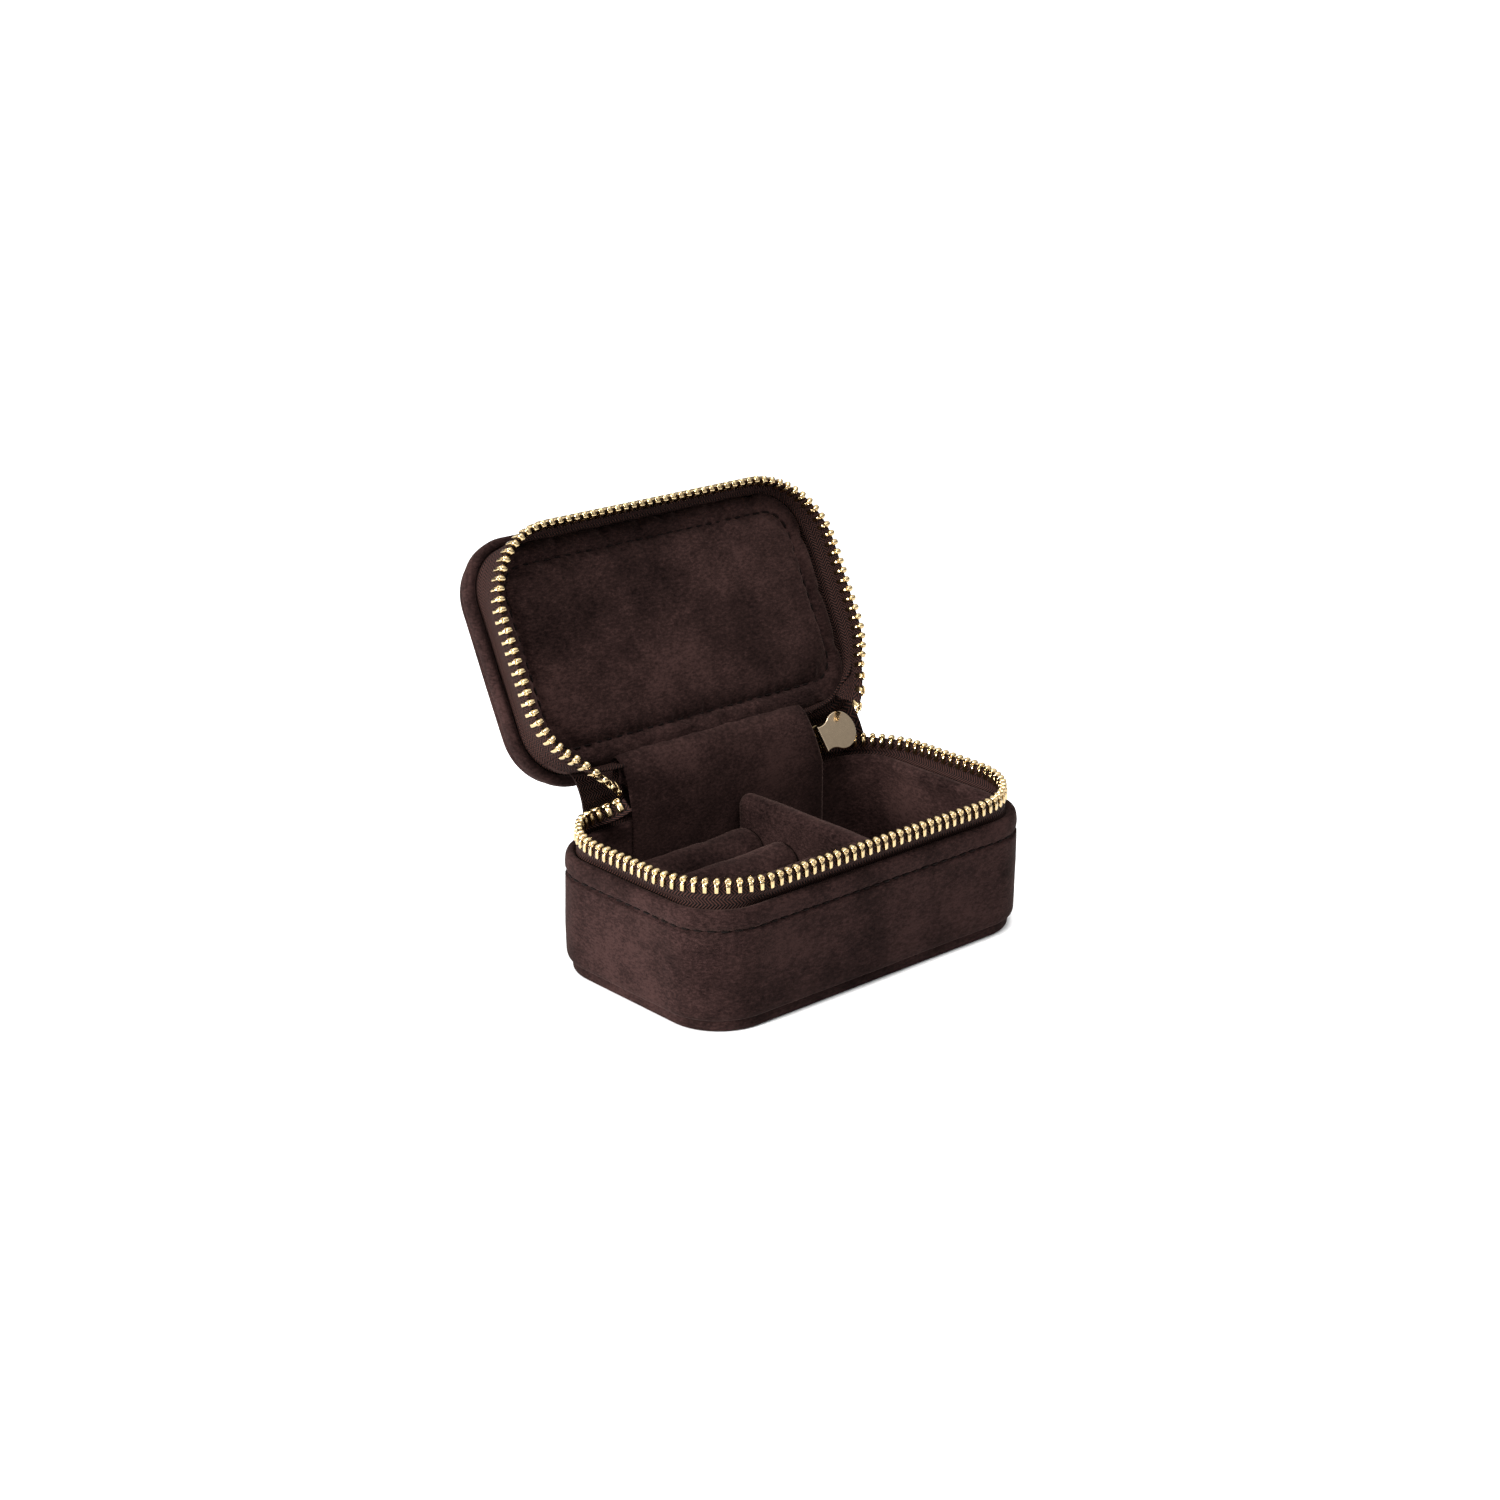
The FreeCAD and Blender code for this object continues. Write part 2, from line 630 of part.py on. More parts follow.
# ---------------------------------------------------------------- fabric hinge
def band(name, centre_line, left, right):
    """A fabric band along the hinge, of even thickness about a line in the YZ plane."""
    thickness = number("strip_thickness")
    normals = []
    for index in range(len(centre_line)):
        y0, z0 = centre_line[max(index - 1, 0)]
        y1, z1 = centre_line[min(index + 1, len(centre_line) - 1)]
        size = math.hypot(y1 - y0, z1 - z0)
        normals.append((-(z1 - z0) / size, (y1 - y0) / size))
    front = [(y + n[0] * thickness / 2, z + n[1] * thickness / 2) for (y, z), n in zip(centre_line, normals)]
    back = [(y - n[0] * thickness / 2, z - n[1] * thickness / 2) for (y, z), n in zip(centre_line, normals)]
    points = [FreeCAD.Vector(left, y, z) for y, z in front + back[::-1]]
    run = FreeCAD.Vector(right - left, 0, 0)
    return shaped(name, Part.Face(Part.makePolygon(points + points[:1])).extrude(run))


def build_hinge():
    """Two velvet bands join the trays: one outside between the rims, and a wide one inside that
    runs from the base's floor, up its back wall, to the lower edge of the lid's panel."""
    half_depth, half_thickness = number("case_depth") / 2, number("strip_thickness") / 2
    half = number("hinge_half_width")
    rim = number("closing_height - rim_distance")
    hem_y = half_depth - number("tape_inset") - half_thickness
    back_y = half_depth - number("velvet + outer_band_setback") - half_thickness
    outer_line = [(hem_y, rim - number("tape_hem")),
                  (hem_y, rim + number("outer_band_bend")),
                  (back_y, rim + number("outer_band_lean")),
                  (back_y, number("hinge_height - hinge_tuck"))]
    outer = band("hinge_strip_outer", outer_line, -half, half)

    wall_y = half_depth - number(INSIDE) - half_thickness - number("inner_band_gap")
    lining_top = number("closing_height - lining_drop")
    pivot_y, pivot_z = number("hinge_back"), number("hinge_height")
    up_the_wall = [(wall_y, number(FLOOR) + number("inner_band_lift")), (wall_y, lining_top + 0.8)]
    # Over the lining's top edge the band leans back to the pivot and then curls under the panel.
    over_the_lining = [(wall_y + 0.9, lining_top + 6.0)]
    past_the_pivot = [(pivot_y + back, pivot_z + up)
                      for back, up in ((-2.6, -1.2), (-1.6, 0.4), (0.2, 2.3), (1.0, 2.6))]
    inner = band("hinge_strip_inner", up_the_wall + over_the_lining + past_the_pivot, -half,
                 number("hinge_right"))
    return [outer, inner]


# ---------------------------------------------------------------- slider and pull
# The slider is drawn flat: its length along X with the mouth at +X, its width along Y, and the
# pull lying over its upper face.  It is then stood up at the end of the zip, its face forward and
# a little up.
def slider_place():
    tilt = 90 - number("slider_tilt")
    upright_turn = FreeCAD.Rotation(FreeCAD.Vector(1, 0, 0), tilt)
    skew = FreeCAD.Rotation(FreeCAD.Vector(0, 0, 1), number("slider_skew"))
    middle = FreeCAD.Vector(number("slider_middle"), number("slider_back"), number("slider_rise"))
    return FreeCAD.Placement(middle, upright_turn.multiply(skew))


def slider_plate(low):
    """One plate of the slider, wide at the mouth and narrow at the tail."""
    length, width, thickness = number("slider_length"), number("slider_width"), number("slider_plate")
    tail, shoulder = number("slider_tail"), length / 10
    corners = [(-length / 2, -tail / 2), (shoulder, -width / 2), (length / 2, -width / 2),
               (length / 2, width / 2), (shoulder, width / 2), (-length / 2, tail / 2)]
    points = [FreeCAD.Vector(x, y, low) for x, y in corners]
    solid = Part.Face(Part.makePolygon(points + points[:1])).extrude(FreeCAD.Vector(0, 0, thickness))
    upright_edges = [edge for edge in solid.Edges if abs(edge.BoundBox.ZLength - thickness) < TOLERANCE]
    return solid.makeFillet(thickness * 0.9, upright_edges)


def build_slider():
    """The cast slider: two plates, the wedge between them, and a lug that carries the pull's pin."""
    throat, thickness, length = number("slider_throat"), number("slider_plate"), number("slider_length")
    mouth, tip = number("wedge_mouth") / 2, number("wedge_tip") / 2
    top = throat / 2 + thickness
    wedge_points = [FreeCAD.Vector(x, y, -throat / 2) for x, y in
                    ((length / 2, -mouth), (length / 2, mouth), (length / 6, tip), (length / 6, -tip))]
    wedge = Part.Face(Part.makePolygon(wedge_points + wedge_points[:1])).extrude(FreeCAD.Vector(0, 0, throat))
    pin_z, pin_x = pin_centre()
    lug_radius, lug_width = number("pin_radius + lug_wall"), number("lug_width")
    lug = Part.makeBox(2 * lug_radius, lug_width, pin_z - top, FreeCAD.Vector(pin_x - lug_radius, -lug_width / 2, top))
    eye = Part.makeCylinder(lug_radius, lug_width, FreeCAD.Vector(pin_x, -lug_width / 2, pin_z),
                            FreeCAD.Vector(0, 1, 0))
    body = slider_plate(-top).fuse([slider_plate(throat / 2), wedge, lug, eye]).removeSplitter()
    hole = Part.makeCylinder(number("pin_radius + pin_clearance"), lug_width * 2,
                             FreeCAD.Vector(pin_x, -lug_width, pin_z), FreeCAD.Vector(0, 1, 0))
    return shaped("zip_slider", body.cut(hole))


def pin_centre():
    """Height and place along the slider of the pin that the pull swings on."""
    top = number("slider_throat") / 2 + number("slider_plate")
    return top + number("pin_height"), -number("pin_setback")


def pull_floor():
    """Height of the pull's underside over the slider's middle: it clears the lug's eye."""
    pin_z, _ = pin_centre()
    return pin_z + number("pin_radius + pull_gap")


def build_pull():
    """The pull: a plate with a round end, hollow flanks and a square end, and two ears beneath
    that hold its pin in the slider's lug."""
    pin_z, pin_x = pin_centre()
    radius, neck, thickness = number("pull_radius"), number("pull_neck") / 2, number("pull_thickness")
    start_x = pin_x - number("pull_overhang")
    centre_x = start_x + number("pull_length") - radius
    low = pull_floor()
    touch = math.radians(128)
    arc_x, arc_y = centre_x + radius * math.cos(touch), radius * math.sin(touch)
    hollow = number("pull_hollow")
    waist = ((start_x + arc_x + hollow) / 2, (neck + arc_y) / 2 - hollow)

    def at(x, y):
        return FreeCAD.Vector(x, y, low)

    edges = [Part.LineSegment(at(start_x, -neck), at(start_x, neck)).toShape(),
             Part.Arc(at(start_x, neck), at(*waist), at(arc_x, arc_y)).toShape(),
             Part.Arc(at(arc_x, arc_y), at(centre_x + radius, 0), at(arc_x, -arc_y)).toShape(),
             Part.Arc(at(arc_x, -arc_y), at(waist[0], -waist[1]), at(start_x, -neck)).toShape()]
    tab = Part.Face(Part.Wire(edges)).extrude(FreeCAD.Vector(0, 0, thickness))
    rim_edges = [edge for edge in tab.Edges if edge.BoundBox.ZLength < TOLERANCE]
    tab = tab.makeFillet(number("pull_edge_radius"), rim_edges)
    ear_width, ear_gap, ear_radius = number("ear_width"), number("ear_gap"), number("pin_radius + ear_wall")
    for side in (-1, 1):
        y0 = side * (ear_gap + ear_width / 2) - ear_width / 2
        ear = Part.makeBox(2 * ear_radius, ear_width, low + thickness / 3 - pin_z,
                           FreeCAD.Vector(pin_x - ear_radius, y0, pin_z))
        eye = Part.makeCylinder(ear_radius, ear_width, FreeCAD.Vector(pin_x, y0, pin_z), FreeCAD.Vector(0, 1, 0))
        tab = tab.fuse([ear, eye])
    half_pin = ear_gap + ear_width
    pin = Part.makeCylinder(number("pin_radius"), 2 * half_pin, FreeCAD.Vector(pin_x, -half_pin, pin_z),
                            FreeCAD.Vector(0, 1, 0))
    return [shaped("zip_pull_tab", tab.cut(pin).removeSplitter()), shaped("zip_pull_pin", pin)]


def build_bottom_box():
    """The metal box that the slider parks against, crimped over the joined tape ends."""
    length, width, thickness = number("stop_length"), number("box_width"), number("box_thickness")
    box = Part.makeBox(length, width, thickness, FreeCAD.Vector(-length / 2, -width / 2, -thickness / 2))
    box = box.makeFillet(number("box_edge_radius"), box.Edges)
    feature = shaped("zip_bottom_box", box)
    park = slider_place().multVec(FreeCAD.Vector(-number("slider_length") / 2 - length / 2 - number("box_gap"), 0, 0))
    feature.Placement = FreeCAD.Placement(park, slider_place().Rotation)
    return feature


# ---------------------------------------------------------------- assembly
for tray_name in ("base", "lid"):
    pieces = build_plate(tray_name) + build_wall(tray_name)
    pieces += [build_tape(tray_name), build_teeth(tray_name), build_end_stop(tray_name)]
    if tray_name == "lid":
        pieces += build_lid_panel()
        for piece in pieces:
            open_lid(piece)
seam_inset = number("thread")
build_stitches("base_wall_stitching", seam_inset, number("corner_radius") - seam_inset,
               number("closing_height - rim_distance - stitch_distance"), True)
build_lining()
build_floor()
build_divider()
build_rolls()
build_hinge()
for piece in [build_slider()] + build_pull():
    piece.Placement = slider_place()
build_bottom_box()
doc.recompute()

pin_height, pin_along = pin_centre()
pin_point = slider_place().multVec(FreeCAD.Vector(pin_along, 0, pin_height))
pin_axis = slider_place().Rotation.multVec(FreeCAD.Vector(0, 1, 0))
print("pull pin at", [round(v, 4) for v in pin_point], "axis", [round(v, 6) for v in pin_axis])

for thing in doc.Objects:
    if "Invalid" in thing.State or "Error" in thing.State:
        raise RuntimeError(f"{thing.Label} failed: {thing.State}")
for part in sub_parts:
    if part.Shape.isNull() or not part.Shape.isValid():
        raise RuntimeError(f"{part.Label} has no valid shape")

os.makedirs("parts", exist_ok=True)
for part in sub_parts:
    part.Shape.exportStep(f"parts/{part.Label}.step")
print(len(sub_parts), "sub-parts written")
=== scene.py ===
import json
import math

import bmesh
import bpy
import numpy as np
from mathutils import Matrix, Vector


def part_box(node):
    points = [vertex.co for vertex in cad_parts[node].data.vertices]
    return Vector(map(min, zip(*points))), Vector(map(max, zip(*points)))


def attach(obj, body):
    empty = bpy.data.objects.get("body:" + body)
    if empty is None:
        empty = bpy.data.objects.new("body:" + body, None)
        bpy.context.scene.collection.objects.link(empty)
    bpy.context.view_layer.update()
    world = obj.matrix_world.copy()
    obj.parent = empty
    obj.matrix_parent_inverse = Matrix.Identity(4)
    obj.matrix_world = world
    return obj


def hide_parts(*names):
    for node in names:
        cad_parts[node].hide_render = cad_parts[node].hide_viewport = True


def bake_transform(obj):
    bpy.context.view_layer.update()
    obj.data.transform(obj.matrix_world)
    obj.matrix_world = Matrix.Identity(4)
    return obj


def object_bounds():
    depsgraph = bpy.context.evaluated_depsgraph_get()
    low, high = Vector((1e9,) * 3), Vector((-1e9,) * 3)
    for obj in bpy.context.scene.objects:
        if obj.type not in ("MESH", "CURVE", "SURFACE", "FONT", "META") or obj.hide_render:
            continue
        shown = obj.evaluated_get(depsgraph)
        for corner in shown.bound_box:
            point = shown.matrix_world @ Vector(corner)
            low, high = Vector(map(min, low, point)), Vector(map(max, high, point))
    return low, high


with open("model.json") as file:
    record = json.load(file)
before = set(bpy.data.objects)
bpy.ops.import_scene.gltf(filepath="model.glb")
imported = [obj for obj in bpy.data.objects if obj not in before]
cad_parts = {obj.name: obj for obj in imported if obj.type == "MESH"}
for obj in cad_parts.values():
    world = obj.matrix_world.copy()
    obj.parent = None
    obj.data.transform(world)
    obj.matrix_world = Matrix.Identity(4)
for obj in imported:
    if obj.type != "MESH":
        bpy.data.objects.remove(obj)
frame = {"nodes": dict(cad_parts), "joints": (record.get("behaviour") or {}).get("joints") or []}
cad_low, cad_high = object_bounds()

# Everything below is worked out in millimetres and scaled when a mesh is made.  The lid's pieces
# are drawn shut, over the base, and turned open about the hinge.  A weight of 0 is the base and a
# weight of 1 the open lid; the zip's ends lie in between.
MM = 0.001
scene = bpy.context.scene
random = np.random.default_rng(7)


def box_mm(node):
    low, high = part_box(node)
    return np.array(low) / MM, np.array(high) / MM


wall_low, wall_high = box_mm("base_wall_cover")
LENGTH, DEPTH = wall_high[0] - wall_low[0], wall_high[1] - wall_low[1]
CORNER = 14.0
RIM = {"base": 6.3, "lid": 10.6}
BODY = {"base": "root", "lid": "lid"}
CLOSING = wall_high[2] + RIM["base"]
LID_DEPTH = 16.8
PLATE, PLATE_INSET = 2.8, 1.2
hinge_joint = next(joint for joint in frame["joints"] if joint["name"] == "lid_hinge")
HINGE_Y, HINGE_Z = hinge_joint["pos_m"][1] / MM, hinge_joint["pos_m"][2] / MM
OPEN = math.radians(hinge_joint["range_deg"][1])
STITCH_AT, STITCH_PITCH, STITCH_LENGTH = 4.6, 3.0, 2.1
CHAIN_INSET, CHAIN_RADIUS, TOOTH_PITCH = 0.75, 19.1, 2.35
TAPE_INSET, TAPE = 2.45, 0.6
HINGE_HALF = 27.8
LINING_TOP = CLOSING - 5.0
FLOOR = box_mm("base_floor_pad")[1][2]
INSIDE = 5.15
PANEL_INSET, PANEL_STITCH = 3.4, 4.3


# ---------------------------------------------------------------- materials
def new_material(name, values):
    material = bpy.data.materials.new(name)
    material.use_nodes = True
    tree = material.node_tree
    shader = tree.nodes["Principled BSDF"]
    for socket, value in values.items():
        shader.inputs[socket].default_value = value
    return material, tree, shader


def add(tree, kind, inputs=None, **settings):
    node = tree.nodes.new(kind)
    for name, value in settings.items():
        setattr(node, name, value)
    for socket, value in (inputs or {}).items():
        if isinstance(value, bpy.types.NodeSocket):
            tree.links.new(value, node.inputs[socket])
        else:
            node.inputs[socket].default_value = value
    return node


def maths(tree, operation, first, second=0.0):
    return add(tree, "ShaderNodeMath", {0: first, 1: second}, operation=operation).outputs[0]


def noise_of(tree, vector, scale, detail=2.0, roughness=0.5):
    made = add(tree, "ShaderNodeTexNoise", {"Vector": vector, "Scale": scale, "Detail": detail,
                                            "Roughness": roughness})
    return made.outputs["Fac"]


def ramp(tree, factor, stops):
    node = add(tree, "ShaderNodeValToRGB", {"Fac": factor})
    elements = node.color_ramp.elements
    for index, (place, colour) in enumerate(stops):
        element = elements[index] if index < 2 else elements.new(place)
        element.position = place
        element.color = (*colour, 1)
    return node.outputs["Color"]


def bump(tree, shader, layers):
    """Layers of bump, each a height, a strength and a depth in millimetres."""
    normal = None
    for height, strength, depth in layers:
        inputs = {"Height": height, "Strength": strength, "Distance": depth * MM}
        if normal is not None:
            inputs["Normal"] = normal
        normal = add(tree, "ShaderNodeBump", inputs).outputs["Normal"]
    tree.links.new(normal, shader.inputs["Normal"])


def velvet(name, dark, light, sheen):
    """Short-pile velvet: brushed patches, fine pile and a faint rib of the weave under it."""
    material, tree, shader = new_material(name, {
        "Roughness": 0.9, "Specular IOR Level": 0.03, "Sheen Weight": sheen, "Sheen Roughness": 0.42,
        "Sheen Tint": (0.62, 0.40, 0.35, 1)})
    place = add(tree, "ShaderNodeTexCoord").outputs["Object"]
    patches = noise_of(tree, place, 48, 3, 0.55)
    strokes = noise_of(tree, place, 170, 3, 0.6)
    ribs_place = add(tree, "ShaderNodeMapping", {"Vector": place, "Scale": (0.45, 0.45, 1.0)}).outputs[0]
    ribs = noise_of(tree, ribs_place, 2100, 2, 0.7)
    pile = noise_of(tree, place, 4200, 2, 0.7)
    nap = maths(tree, "ADD", maths(tree, "MULTIPLY", patches, 0.62), maths(tree, "MULTIPLY", strokes, 0.2))
    grain = maths(tree, "ADD", maths(tree, "MULTIPLY", ribs, 0.60), maths(tree, "MULTIPLY", pile, 0.40))
    tone = maths(tree, "ADD", nap, maths(tree, "MULTIPLY", grain, 0.90))
    middle = [(a + b) / 2 * 0.85 for a, b in zip(dark, light)]
    colour = ramp(tree, tone, [(0.66, dark), (1.0, light), (0.85, middle)])
    tree.links.new(colour, shader.inputs["Base Color"])
    bump(tree, shader, [(strokes, 0.25, 0.35), (ribs, 0.5, 0.16), (pile, 0.45, 0.10)])
    return material


WEAVE_COLUMN, WEAVE_PITCH = 1.15, 0.78


def woven_tape(name):
    """Zip tape: herringbone columns along the tape, in reddish brown."""
    material, tree, shader = new_material(name, {"Roughness": 0.8, "Specular IOR Level": 0.1})
    uv = add(tree, "ShaderNodeUVMap", uv_map="run").outputs["UV"]
    split = add(tree, "ShaderNodeSeparateXYZ", {0: uv})
    along, across = split.outputs[0], split.outputs[1]
    zigzag = add(tree, "ShaderNodeMath", {0: across, 1: WEAVE_COLUMN}, operation="PINGPONG").outputs[0]
    phase = maths(tree, "MULTIPLY", maths(tree, "ADD", along, zigzag), 2 * math.pi / WEAVE_PITCH)
    rib = maths(tree, "ADD", maths(tree, "MULTIPLY", maths(tree, "SINE", phase), 0.5), 0.5)
    wave = maths(tree, "SINE", maths(tree, "MULTIPLY", across, math.pi / WEAVE_COLUMN))
    column = maths(tree, "MULTIPLY", maths(tree, "ABSOLUTE", wave), 0.35)
    place = add(tree, "ShaderNodeTexCoord").outputs["Object"]
    fuzz = noise_of(tree, place, 2600, 2)
    soft = maths(tree, "ADD", maths(tree, "MULTIPLY", fuzz, 0.3), maths(tree, "MULTIPLY", column, 0.3))
    tone = maths(tree, "ADD", maths(tree, "MULTIPLY", rib, 0.6), soft)
    colour = ramp(tree, tone, [(0.25, (0.0016, 0.0007, 0.0006)), (0.80, (0.036, 0.0140, 0.0105)),
                               (0.5, (0.0065, 0.0027, 0.0023))])
    tree.links.new(colour, shader.inputs["Base Color"])
    bump(tree, shader, [(rib, 0.7, 0.22), (fuzz, 0.3, 0.08)])
    return material


def metal(name, colour, roughness, wear):
    """Plated metal with faint handling marks."""
    material, tree, shader = new_material(name, {"Metallic": 1.0, "Specular IOR Level": 0.5})
    place = add(tree, "ShaderNodeTexCoord").outputs["Object"]
    marks = noise_of(tree, place, 900, 4, 0.65)
    shade = [c * (1 - wear) for c in colour]
    tree.links.new(ramp(tree, marks, [(0.25, shade), (0.75, colour)]), shader.inputs["Base Color"])
    spread = add(tree, "ShaderNodeMapRange", {"Value": marks, "From Min": 0.3, "From Max": 0.7,
                                              "To Min": roughness * 0.75, "To Max": roughness * 1.3})
    tree.links.new(spread.outputs["Result"], shader.inputs["Roughness"])
    bump(tree, shader, [(marks, 0.08, 0.05)])
    return material


def sewing_thread(name):
    material, tree, shader = new_material(name, {"Roughness": 0.8, "Specular IOR Level": 0.08})
    place = add(tree, "ShaderNodeTexCoord").outputs["Object"]
    twist = add(tree, "ShaderNodeTexWave", {"Vector": place, "Scale": 900.0, "Distortion": 1.5},
                bands_direction="DIAGONAL").outputs["Fac"]
    colour = ramp(tree, twist, [(0.2, (0.0015, 0.0008, 0.0007)), (0.9, (0.0070, 0.0032, 0.0026))])
    tree.links.new(colour, shader.inputs["Base Color"])
    bump(tree, shader, [(twist, 0.6, 0.06)])
    return material


def plain_stock(name, dark, light, scale, depth):
    """Card or foam: hidden inside, with a fibrous or open-celled surface."""
    material, tree, shader = new_material(name, {"Roughness": 0.9, "Specular IOR Level": 0.2})
    place = add(tree, "ShaderNodeTexCoord").outputs["Object"]
    grain = noise_of(tree, place, scale, 4, 0.7)
    tree.links.new(ramp(tree, grain, [(0.3, dark), (0.7, light)]), shader.inputs["Base Color"])
    bump(tree, shader, [(grain, 0.5, depth)])
    return material


OUTER = velvet("outer_velvet", (0.0026, 0.0011, 0.0010), (0.0255, 0.0127, 0.0115), 0.06)
# The lining uses the outer velvet made about a third lighter. That extra lightness is painted light,
# standing in for the light from above that falls on the inside.
LINING_PAINTED_LIGHT = velvet("lining_velvet", (0.0032, 0.0013, 0.0012), (0.0335, 0.0170, 0.0152), 0.10)
WOVEN = woven_tape("zip_tape")
GOLD = metal("gold_teeth", (0.63, 0.47, 0.25), 0.17, 0.40)
CHAMPAGNE = metal("champagne_pull", (0.66, 0.51, 0.35), 0.13, 0.08)
THREAD = sewing_thread("thread")
CARD = plain_stock("card_board", (0.008, 0.005, 0.004), (0.018, 0.011, 0.009), 700, 0.05)
FOAM = plain_stock("foam", (0.05, 0.05, 0.05), (0.12, 0.12, 0.12), 1600, 0.15)


# ---------------------------------------------------------------- the case outline
def outline(run, inset, radius):
    """Places and outward directions on the outline at runs from the middle of the back, clockwise
    seen from above: along the back to the right, down the right side and round."""
    half_x, half_y = LENGTH / 2 - inset, DEPTH / 2 - inset
    sx, sy, quarter = half_x - radius, half_y - radius, radius * math.pi / 2
    lengths = np.array([sx, quarter, 2 * sy, quarter, 2 * sx, quarter, 2 * sy, quarter, sx])
    starts = np.array([(0, half_y), (sx, half_y), (half_x, sy), (half_x, -sy), (sx, -half_y),
                       (-sx, -half_y), (-half_x, -sy), (-half_x, sy), (-sx, half_y)])
    headings = -np.array([0, 0, 1, 1, 2, 2, 3, 3, 4]) * math.pi / 2
    ends = np.cumsum(lengths)
    run = np.mod(np.asarray(run, float), ends[-1])
    stage = np.minimum(np.searchsorted(ends, run, side="left"), 8)
    local = run - (ends - lengths)[stage]
    heading = headings[stage]
    start = starts[stage]
    straight = start + np.stack([local * np.cos(heading), local * np.sin(heading)], -1)
    centre = start + radius * np.stack([np.sin(heading), -np.cos(heading)], -1)
    turned = heading - local / radius
    arc = centre + radius * np.stack([-np.sin(turned), np.cos(turned)], -1)
    curved = (stage % 2 == 1)
    place = np.where(curved[..., None], arc, straight)
    final = np.where(curved, turned, heading)
    return place, np.stack([-np.sin(final), np.cos(final)], -1), final


def outline_length(inset, radius):
    return 2 * (LENGTH + DEPTH - 4 * inset - 4 * radius) + 2 * math.pi * radius


def run_at_back(x):
    """Run along the teeth's line to a distance x right of the middle, on the back or its corner."""
    flat = LENGTH / 2 - CHAIN_INSET - CHAIN_RADIUS
    return x if x < flat else flat + CHAIN_RADIUS * math.asin((x - flat) / CHAIN_RADIUS)


def height(tray, distance):
    """Height with the lid shut, at a distance from the plane where the zip closes."""
    return CLOSING - distance if tray == "base" else CLOSING + distance


def turned_open(points, weight=1.0):
    """Points turned about the hinge, by a share of the open angle."""
    angle = -OPEN * np.asarray(weight, float)
    c, s = np.cos(angle), np.sin(angle)
    y, z = points[..., 1] - HINGE_Y, points[..., 2] - HINGE_Z
    return np.stack([points[..., 0], HINGE_Y + y * c - z * s, HINGE_Z + y * s + z * c], -1)


def ripple(points, wavelength, seed):
    """Smooth uneven relief of about -1 to 1, from a few crossing waves."""
    waves = np.random.default_rng(seed)
    total = np.zeros(points.shape[:-1])
    for _ in range(7):
        direction = waves.normal(size=3)
        direction /= np.linalg.norm(direction)
        length = wavelength * waves.uniform(0.7, 1.5)
        total += np.sin(points @ direction * 2 * math.pi / length + waves.uniform(0, 2 * math.pi))
    return total / 3.2


# ---------------------------------------------------------------- meshes
def new_piece(name, points, faces, material, body, uvs=None, solid=True):
    mesh = bpy.data.meshes.new(name)
    mesh.from_pydata((np.asarray(points) * MM).tolist(), [], faces)
    if uvs is not None:
        layer = mesh.uv_layers.new(name="run")
        layer.data.foreach_set("uv", np.asarray(uvs, np.float32).ravel())
    if solid:
        work = bmesh.new()
        work.from_mesh(mesh)
        bmesh.ops.recalc_face_normals(work, faces=work.faces)
        work.to_mesh(mesh)
        work.free()
    mesh.polygons.foreach_set("use_smooth", [True] * len(mesh.polygons))
    mesh.materials.append(material)
    piece = bpy.data.objects.new(name, mesh)
    scene.collection.objects.link(piece)
    if body:
        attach(piece, body)
    return piece


def grid_faces(across, along, wrap_across, wrap_along):
    faces, corners = [], []
    for i in range(across if wrap_across else across - 1):
        for j in range(along if wrap_along else along - 1):
            i2, j2 = i + 1, j + 1
            faces.append((i * along + j, (i2 % across) * along + j,
                          (i2 % across) * along + j2 % along, i * along + j2 % along))
            corners.append(((i, j), (i2, j), (i2, j2), (i, j2)))
    return faces, corners


def grid_piece(name, rows, material, body, wrap=(True, True), caps=False, uv_scale=None,
               solid=True):
    """A skin over a grid of points: stations along, and a profile at each.  Caps fill the ends."""
    stations, steps = rows.shape[:2]
    faces, corners = grid_faces(stations, steps, *wrap)
    uvs = None
    if uv_scale is not None:
        along, across = uv_scale
        uvs = [(along[i], across[j]) for corner in corners for i, j in corner]
    if caps == "strips":
        faces += strip_cap(0, steps) + strip_cap((stations - 1) * steps, steps)
    elif caps:
        first = list(range(steps))
        faces += [tuple(first), tuple((stations - 1) * steps + j for j in reversed(first))]
        if uvs is not None:
            uvs += [(0, 0)] * (2 * steps)
    return new_piece(name, rows.reshape(-1, 3), faces, material, body, uvs, solid)


def swept(profile, count, tray, shape=None):
    """Points of a profile of (inset, distance) carried round the case, with its relief."""
    run = np.arange(count) * outline_length(0, CORNER) / count
    place, outward, _ = outline(run, 0.0, CORNER)
    profile = np.asarray(profile, float)
    rows = np.empty((count, len(profile), 3))
    rows[..., :2] = place[:, None, :] - outward[:, None, :] * profile[None, :, :1]
    rows[..., 2] = height(tray, profile[None, :, 1])
    if shape is not None:
        push = shape(run[:, None], profile[None, :, 0], profile[None, :, 1], rows)
        rows[..., :2] += outward[:, None, :] * push[..., None]
    return rows


def eased(points, steps):
    """The profile with a smooth curve through its points."""
    points = np.asarray(points, float)
    padded = np.vstack([2 * points[0] - points[1], points, 2 * points[-1] - points[-2]])
    made = []
    for index in range(len(points) - 1):
        a, b, c, d = padded[index:index + 4]
        for t in np.arange(steps) / steps:
            made.append(0.5 * (2 * b + (c - a) * t + (2 * a - 5 * b + 4 * c - d) * t ** 2
                               + (3 * b - a - 3 * c + d) * t ** 3))
    made.append(points[-1])
    return np.array(made)


def in_place(rows, tray, weight=1.0):
    return turned_open(rows, weight) if tray == "lid" else rows


